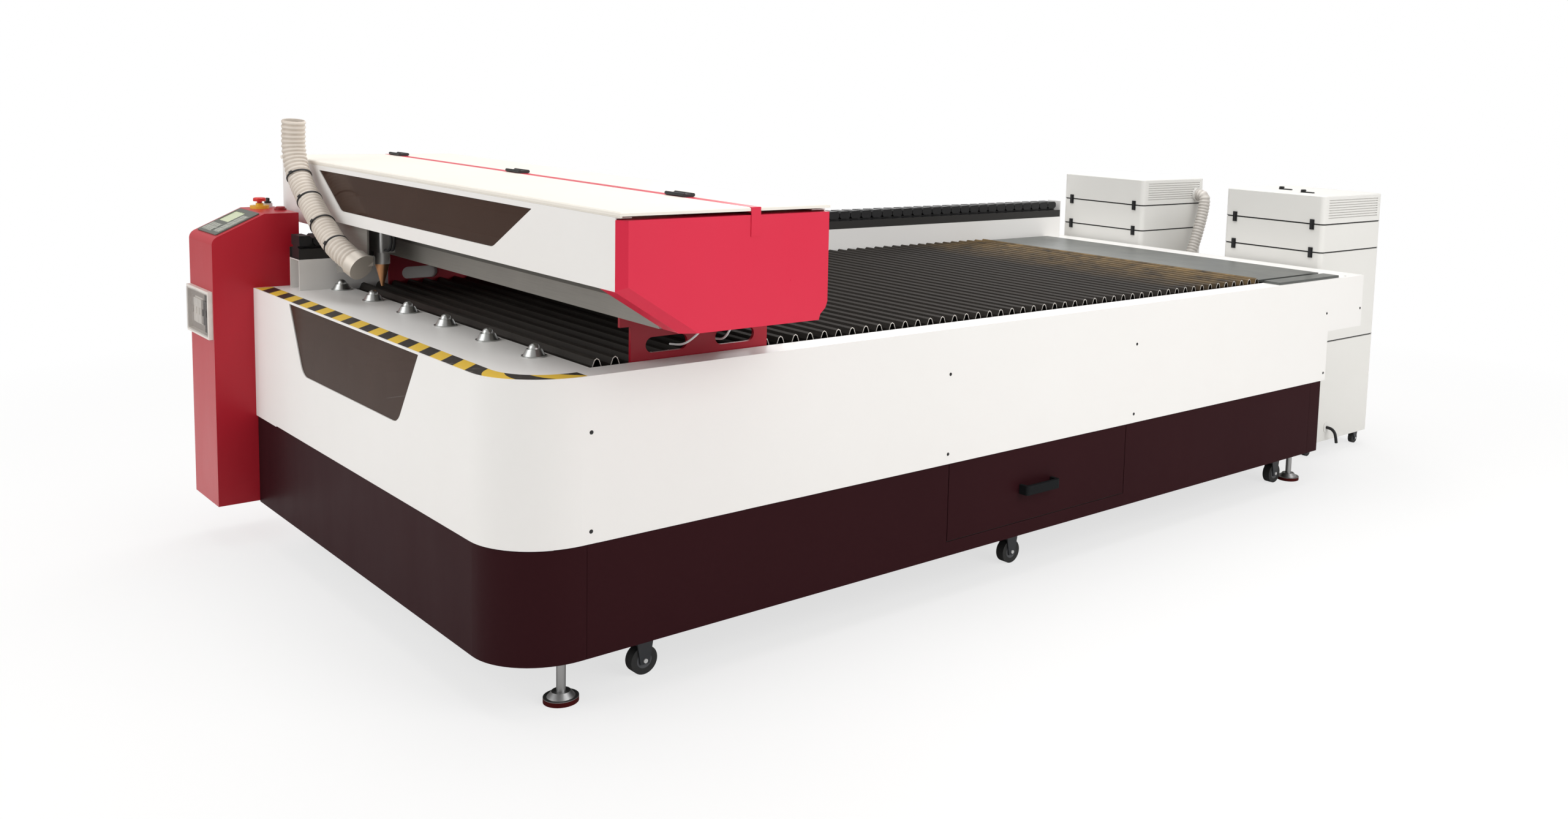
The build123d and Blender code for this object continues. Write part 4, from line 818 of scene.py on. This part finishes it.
def ribbed_hose(name, line, radius, finish, body, open_ends, sides=36):
    """A ribbed hose: a wall with open ends, or a closed run between two fittings."""
    pitch = RIB_PITCH / 1000
    stations = even_steps(line, pitch / 4)
    axes = rings(stations)
    depth = RIB_DEPTH / 1000
    outer = [(i, radius - depth * (0.5 - 0.5 * cos(tau * s / pitch))) for i, (_, s) in enumerate(stations)]
    inner = [(i, radius - depth - HOSE_WALL / 1000) for i in range(len(stations) - 1, -1, -1)]
    loops = outer + inner if open_ends else outer
    vertices, faces = [], []
    for i, r in loops:
        side, up = axes[i]
        for k in range(sides):
            turn = tau * k / sides
            vertices.append(stations[i][0] + (side * cos(turn) + up * sin(turn)) * r)
    for loop in range(len(loops) - 1):
        for k in range(sides):
            a, b = loop * sides + k, loop * sides + (k + 1) % sides
            faces.append((a, b, b + sides, a + sides))
    last = (len(loops) - 1) * sides
    if open_ends:
        faces += [(last + k, last + (k + 1) % sides, (k + 1) % sides, k) for k in range(sides)]
    else:
        faces += [tuple(range(sides))[::-1], tuple(last + k for k in range(sides))]
    obj = piece(name, vertices, faces, finish, body)
    layer = obj.data.uv_layers.new(name="along")
    for corner in obj.data.loops:
        loop, k = divmod(corner.vertex_index, sides)
        layer.data[corner.index].uv = (stations[loops[loop][0]][1], k / sides)
    face_outwards(obj)
    obj.data.polygons.foreach_set("use_smooth", [len(p.vertices) == 4 for p in obj.data.polygons])
    return obj


def hang_suction_hose():
    """Suction hose up from the head, with its ties."""
    line = smooth_line(HOSE[::-1])
    hose = ribbed_hose("suction_hose_skin", line, HOSE_R / 1000, "hose_clear", "head", True)
    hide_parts("suction_hose")
    ties = tie_straps(line)
    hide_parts("hose_clamps")
    length_of(line)


def tie_straps(line):
    """Straps round the hose, each with its lock."""
    stations = even_steps(line, 0.004)
    axes = rings(stations)
    vertices, faces = [], []
    sides, half, thick = 40, 0.0028, 0.0022
    grip = HOSE_R / 1000 - 0.0006
    for i, share in TIES:
        target = at(*HOSE[i]).lerp(at(*HOSE[i + 1]), share)
        near = min(range(len(stations)), key=lambda n: (stations[n][0] - target).length)
        point = stations[near][0]
        side, up = axes[near]
        ahead = side.cross(up)
        start = len(vertices)
        for k in range(sides):
            out = side * cos(tau * k / sides) + up * sin(tau * k / sides)
            for r, along in ((grip, -half), (grip + thick, -half), (grip + thick, half), (grip, half)):
                vertices.append(point + out * r + ahead * along)
        for k in range(sides):
            a, b = start + 4 * k, start + 4 * ((k + 1) % sides)
            for j in range(4):
                faces.append((a + j, b + j, b + (j + 1) % 4, a + (j + 1) % 4))
        lock = len(vertices)
        out = (Vector((-1, -1, 0)) - ahead * Vector((-1, -1, 0)).dot(ahead)).normalized()
        across = ahead.cross(out)
        for r in (grip + thick / 2, grip + 0.006):
            for p, q in ((-1, -1), (1, -1), (1, 1), (-1, 1)):
                vertices.append(point + out * r + across * 0.0055 * p + ahead * 0.0045 * q)
        for face in ((3, 2, 1, 0), (4, 5, 6, 7), (0, 1, 5, 4), (1, 2, 6, 5), (2, 3, 7, 6), (3, 0, 4, 7)):
            faces.append(tuple(lock + v for v in face))
    obj = piece("hose_ties", vertices, faces, "black_plastic", "head")
    face_outwards(obj)
    return obj


def hang_duct():
    """Air duct from the left cabinet down to the rear panel."""
    line = smooth_line(DUCT)
    hose = ribbed_hose("duct_hose_skin", line, DUCT_R / 1000, "duct_grey", "bed", False)
    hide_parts("duct_hose")
    length_of(line)


def thin_cord(name, route, radius, rounding, finish, body, node=None):
    """A round cord along its spline, in the place of a node where one is named."""
    curve = bpy.data.curves.new(name, "CURVE")
    curve.dimensions = "3D"
    add_spline(curve, route)
    curve.bevel_depth = radius / 1000
    curve.bevel_resolution = rounding
    curve.use_fill_caps = True
    curve.materials.append(FINISHES[finish].material)
    obj = bpy.data.objects.new(name, curve)
    bpy.context.scene.collection.objects.link(obj)
    ride(obj, body)
    if node:
        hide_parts(node)
    at(*route[0])
    length_of(smooth_line(route))


def hang_tail():
    """Mains tail out of the right cabinet's gland."""
    thin_cord("power_tail", TAIL, TAIL_R, 6, "black_plastic", "bed", node="power_cable")


def run_air_lines():
    """Thin white air lines that loop out through the near bracket's slots."""
    for number, route in enumerate(AIR_LINES, start=1):
        thin_cord(f"air_line_{number}", route, AIR_R, 4, "air_white", "gantry")


hang_suction_hose()
hang_duct()
hang_tail()
run_air_lines()


# Small sheet pieces

def bar(name, x, y, z, finish, body, slot=None, bevel=0.0008):
    """A plain bar between the limits of three pairs, with broken edges."""
    corners = [at(a, b, c) for a in x for b in y for c in z]
    faces = [(0, 1, 3, 2), (4, 6, 7, 5), (0, 4, 5, 1), (2, 3, 7, 6), (0, 2, 6, 4), (1, 5, 7, 3)]
    obj = piece(name, corners, faces, finish, body)
    shape = bmesh.new()
    shape.from_mesh(obj.data)
    bmesh.ops.bevel(shape, geom=shape.edges[:], offset=bevel, segments=2, affect="EDGES", clamp_overlap=True)
    bmesh.ops.recalc_face_normals(shape, faces=shape.faces)
    shape.to_mesh(obj.data)
    shape.free()
    return obj


def trimmed(node, x, finish):
    """A copy of a node that starts at x, in its place."""
    source = frame["nodes"][node]
    shape = bmesh.new()
    shape.from_mesh(source.data)
    bmesh.ops.remove_doubles(shape, verts=shape.verts, dist=0.00002)
    everything = shape.verts[:] + shape.edges[:] + shape.faces[:]
    plane = {"plane_co": at(x, 0, 0), "plane_no": (1, 0, 0)}
    cut = bmesh.ops.bisect_plane(shape, geom=everything, clear_inner=True, **plane)
    rim = [part for part in cut["geom_cut"] if isinstance(part, bmesh.types.BMEdge)]
    bmesh.ops.triangle_fill(shape, use_beauty=True, edges=rim)
    bmesh.ops.recalc_face_normals(shape, faces=shape.faces)
    mesh = bpy.data.meshes.new(node + "_trimmed")
    shape.to_mesh(mesh)
    shape.free()
    mesh.materials.append(FINISHES[finish].material)
    obj = bpy.data.objects.new(node + "_trimmed", mesh)
    bpy.context.scene.collection.objects.link(obj)
    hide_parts(node)
    return ride(obj, body_of(node))


def body_of(node):
    """The body that a node belongs to."""
    bodies = frame["record"]["behaviour"]["bodies"]
    return next(body for body, nodes in bodies.items() if node in nodes)


def corner_fill(name, inset, z, finish):
    """Squares a rounded corner of the bed off, where it meets the pedestal."""
    radius = CORNER_R - inset
    steps = 16
    outline = [(inset, BED_W - inset)]
    for step in range(steps + 1):
        turn = pi - step / steps * pi / 2
        outline.append((CORNER_R + radius * cos(turn), BED_W - CORNER_R + radius * sin(turn)))
    vertices = [at(x, y, height) for height in z for x, y in outline]
    count = len(outline)
    faces = [tuple(range(count)), tuple(range(2 * count - 1, count - 1, -1))]
    faces += [(i, (i + 1) % count, count + (i + 1) % count, count + i) for i in range(count)]
    face_outwards(piece(name, vertices, faces, finish, "bed"))


def square_corner():
    """The bed's far front corner is square in the upper panels and in the skirt."""
    skirt_x, _, skirt_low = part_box("skirt_panels")[0]
    skirt_z = (skirt_low * 1000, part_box("skirt_panels")[1][2] * 1000)
    corner_fill("panel_corner", 0.0, (skirt_z[1], DECK_Z), "white_panel")
    corner_fill("skirt_corner", skirt_x * 1000 + MID_X, skirt_z, "dark_skirt")


def fit_sheets():
    """Tray parts that start past the pedestal, the ledge sheet, the lid seal and the top catches."""
    trimmed("rail_cover", TRAY_START_X, "white_panel")
    trimmed("cable_tray", TRAY_START_X, "black_frame")
    trimmed("cable_chain", CHAIN_START_X, "black_plastic")
    bar("ledge_sheet", LEDGE_SHEET_X, LEDGE_SHEET_Y, (DECK_Z, PLATE_TOP_Z), "rear_sheet", "bed", "grey_sheet")
    bar("lid_seal", SEAL_X, SEAL_Y, (COVER_TOP, LID_Z), "cream_cover", "gantry", "cream_cover")
    low, middle, high = CABINET_TOP, CABINET_TOP + CATCH_T, CABINET_TOP + CATCH_H
    for number, (x, y) in enumerate(CABINET_CATCHES, start=1):
        strip = ((x - 9, x + 9), (y - 34, y + 34), (low, middle))
        grip = ((x - 14, x + 14), (y + 12, y + 30), (middle, high))
        bar(f"cabinet_catch_{number}", *strip, "black_plastic", "bed", bevel=0.002)
        bar(f"cabinet_catch_grip_{number}", *grip, "black_plastic", "bed", bevel=0.003)


fit_sheets()
square_corner()


# Floor and light

def floor_paint():
    """Pale floor that reads as white to the eye and still takes the machine's shadow."""
    paint = Finish("floor_paint", Roughness=0.7, Specular_IOR_Level=0.1)
    paint.feed(Base_Color=paint.blend(paint.noise(0.5, 3.0), (0.80, 0.795, 0.785), (0.78, 0.775, 0.765)))
    glow = paint.tree.nodes.new("ShaderNodeEmission")
    glow.inputs[0].default_value = (1, 1, 1, 1)
    sight = paint.node("ShaderNodeLightPath", out="Is Camera Ray")
    away = paint.node("ShaderNodeVectorMath", {"operation": "LENGTH"}, {0: paint.place}, out="Value")
    share = (away * 0.12 + 0.40).clamped(0.7, 1.0)
    mixed = paint.tree.nodes.new("ShaderNodeMixShader")
    paint.join(mixed.inputs[0], sight * share)
    paint.tree.links.new(paint.shader.outputs[0], mixed.inputs[1])
    paint.tree.links.new(glow.outputs[0], mixed.inputs[2])
    output = next(node for node in paint.tree.nodes if node.type == "OUTPUT_MATERIAL")
    paint.tree.links.new(mixed.outputs[0], output.inputs[0])
    return paint.material


def studio():
    """Pale floor, soft lamps above, and an even pale surround."""
    floor_mesh = bpy.data.meshes.new("floor")
    reach = 60.0
    corners = [(-reach, -reach, 0), (reach, -reach, 0), (reach, reach, 0), (-reach, reach, 0)]
    floor_mesh.from_pydata(corners, [], [(0, 1, 2, 3)])
    floor = bpy.data.objects.new("floor", floor_mesh)
    bpy.context.scene.collection.objects.link(floor)
    floor_mesh.materials.append(floor_paint())
    for name, spot, size, power in (
        ("key", (1.0, -6.0, 3.6), 4.5, 210.0),
        ("top", (0.0, 0.5, 5.5), 6.0, 260.0),
        ("fill", (-6.0, 0.5, 3.0), 4.0, 110.0),
        ("back", (4.5, 4.5, 4.0), 4.0, 90.0),
    ):
        lamp = bpy.data.lights.new(name, "AREA")
        lamp.energy = power
        lamp.size = size
        obj = bpy.data.objects.new(name, lamp)
        obj.location = spot
        obj.rotation_euler = (Vector((0.2, 0, 0.5)) - Vector(spot)).to_track_quat("-Z", "Y").to_euler()
        bpy.context.scene.collection.objects.link(obj)
    world = bpy.data.worlds.new("surround")
    bpy.context.scene.world = world
    world.use_nodes = True
    tree = world.node_tree
    tree.nodes.clear()
    seen = tree.nodes.new("ShaderNodeBackground")
    seen.inputs[0].default_value = (1, 1, 1, 1)
    seen.inputs[1].default_value = 1.0
    lit = tree.nodes.new("ShaderNodeBackground")
    lit.inputs[0].default_value = (1.0, 0.985, 0.965, 1)
    lit.inputs[1].default_value = 0.5
    path = tree.nodes.new("ShaderNodeLightPath")
    mixed = tree.nodes.new("ShaderNodeMixShader")
    output = tree.nodes.new("ShaderNodeOutputWorld")
    tree.links.new(path.outputs["Is Camera Ray"], mixed.inputs[0])
    tree.links.new(lit.outputs[0], mixed.inputs[1])
    tree.links.new(seen.outputs[0], mixed.inputs[2])
    tree.links.new(mixed.outputs[0], output.inputs[0])
    bpy.context.scene.view_settings.view_transform = "Standard"


studio()
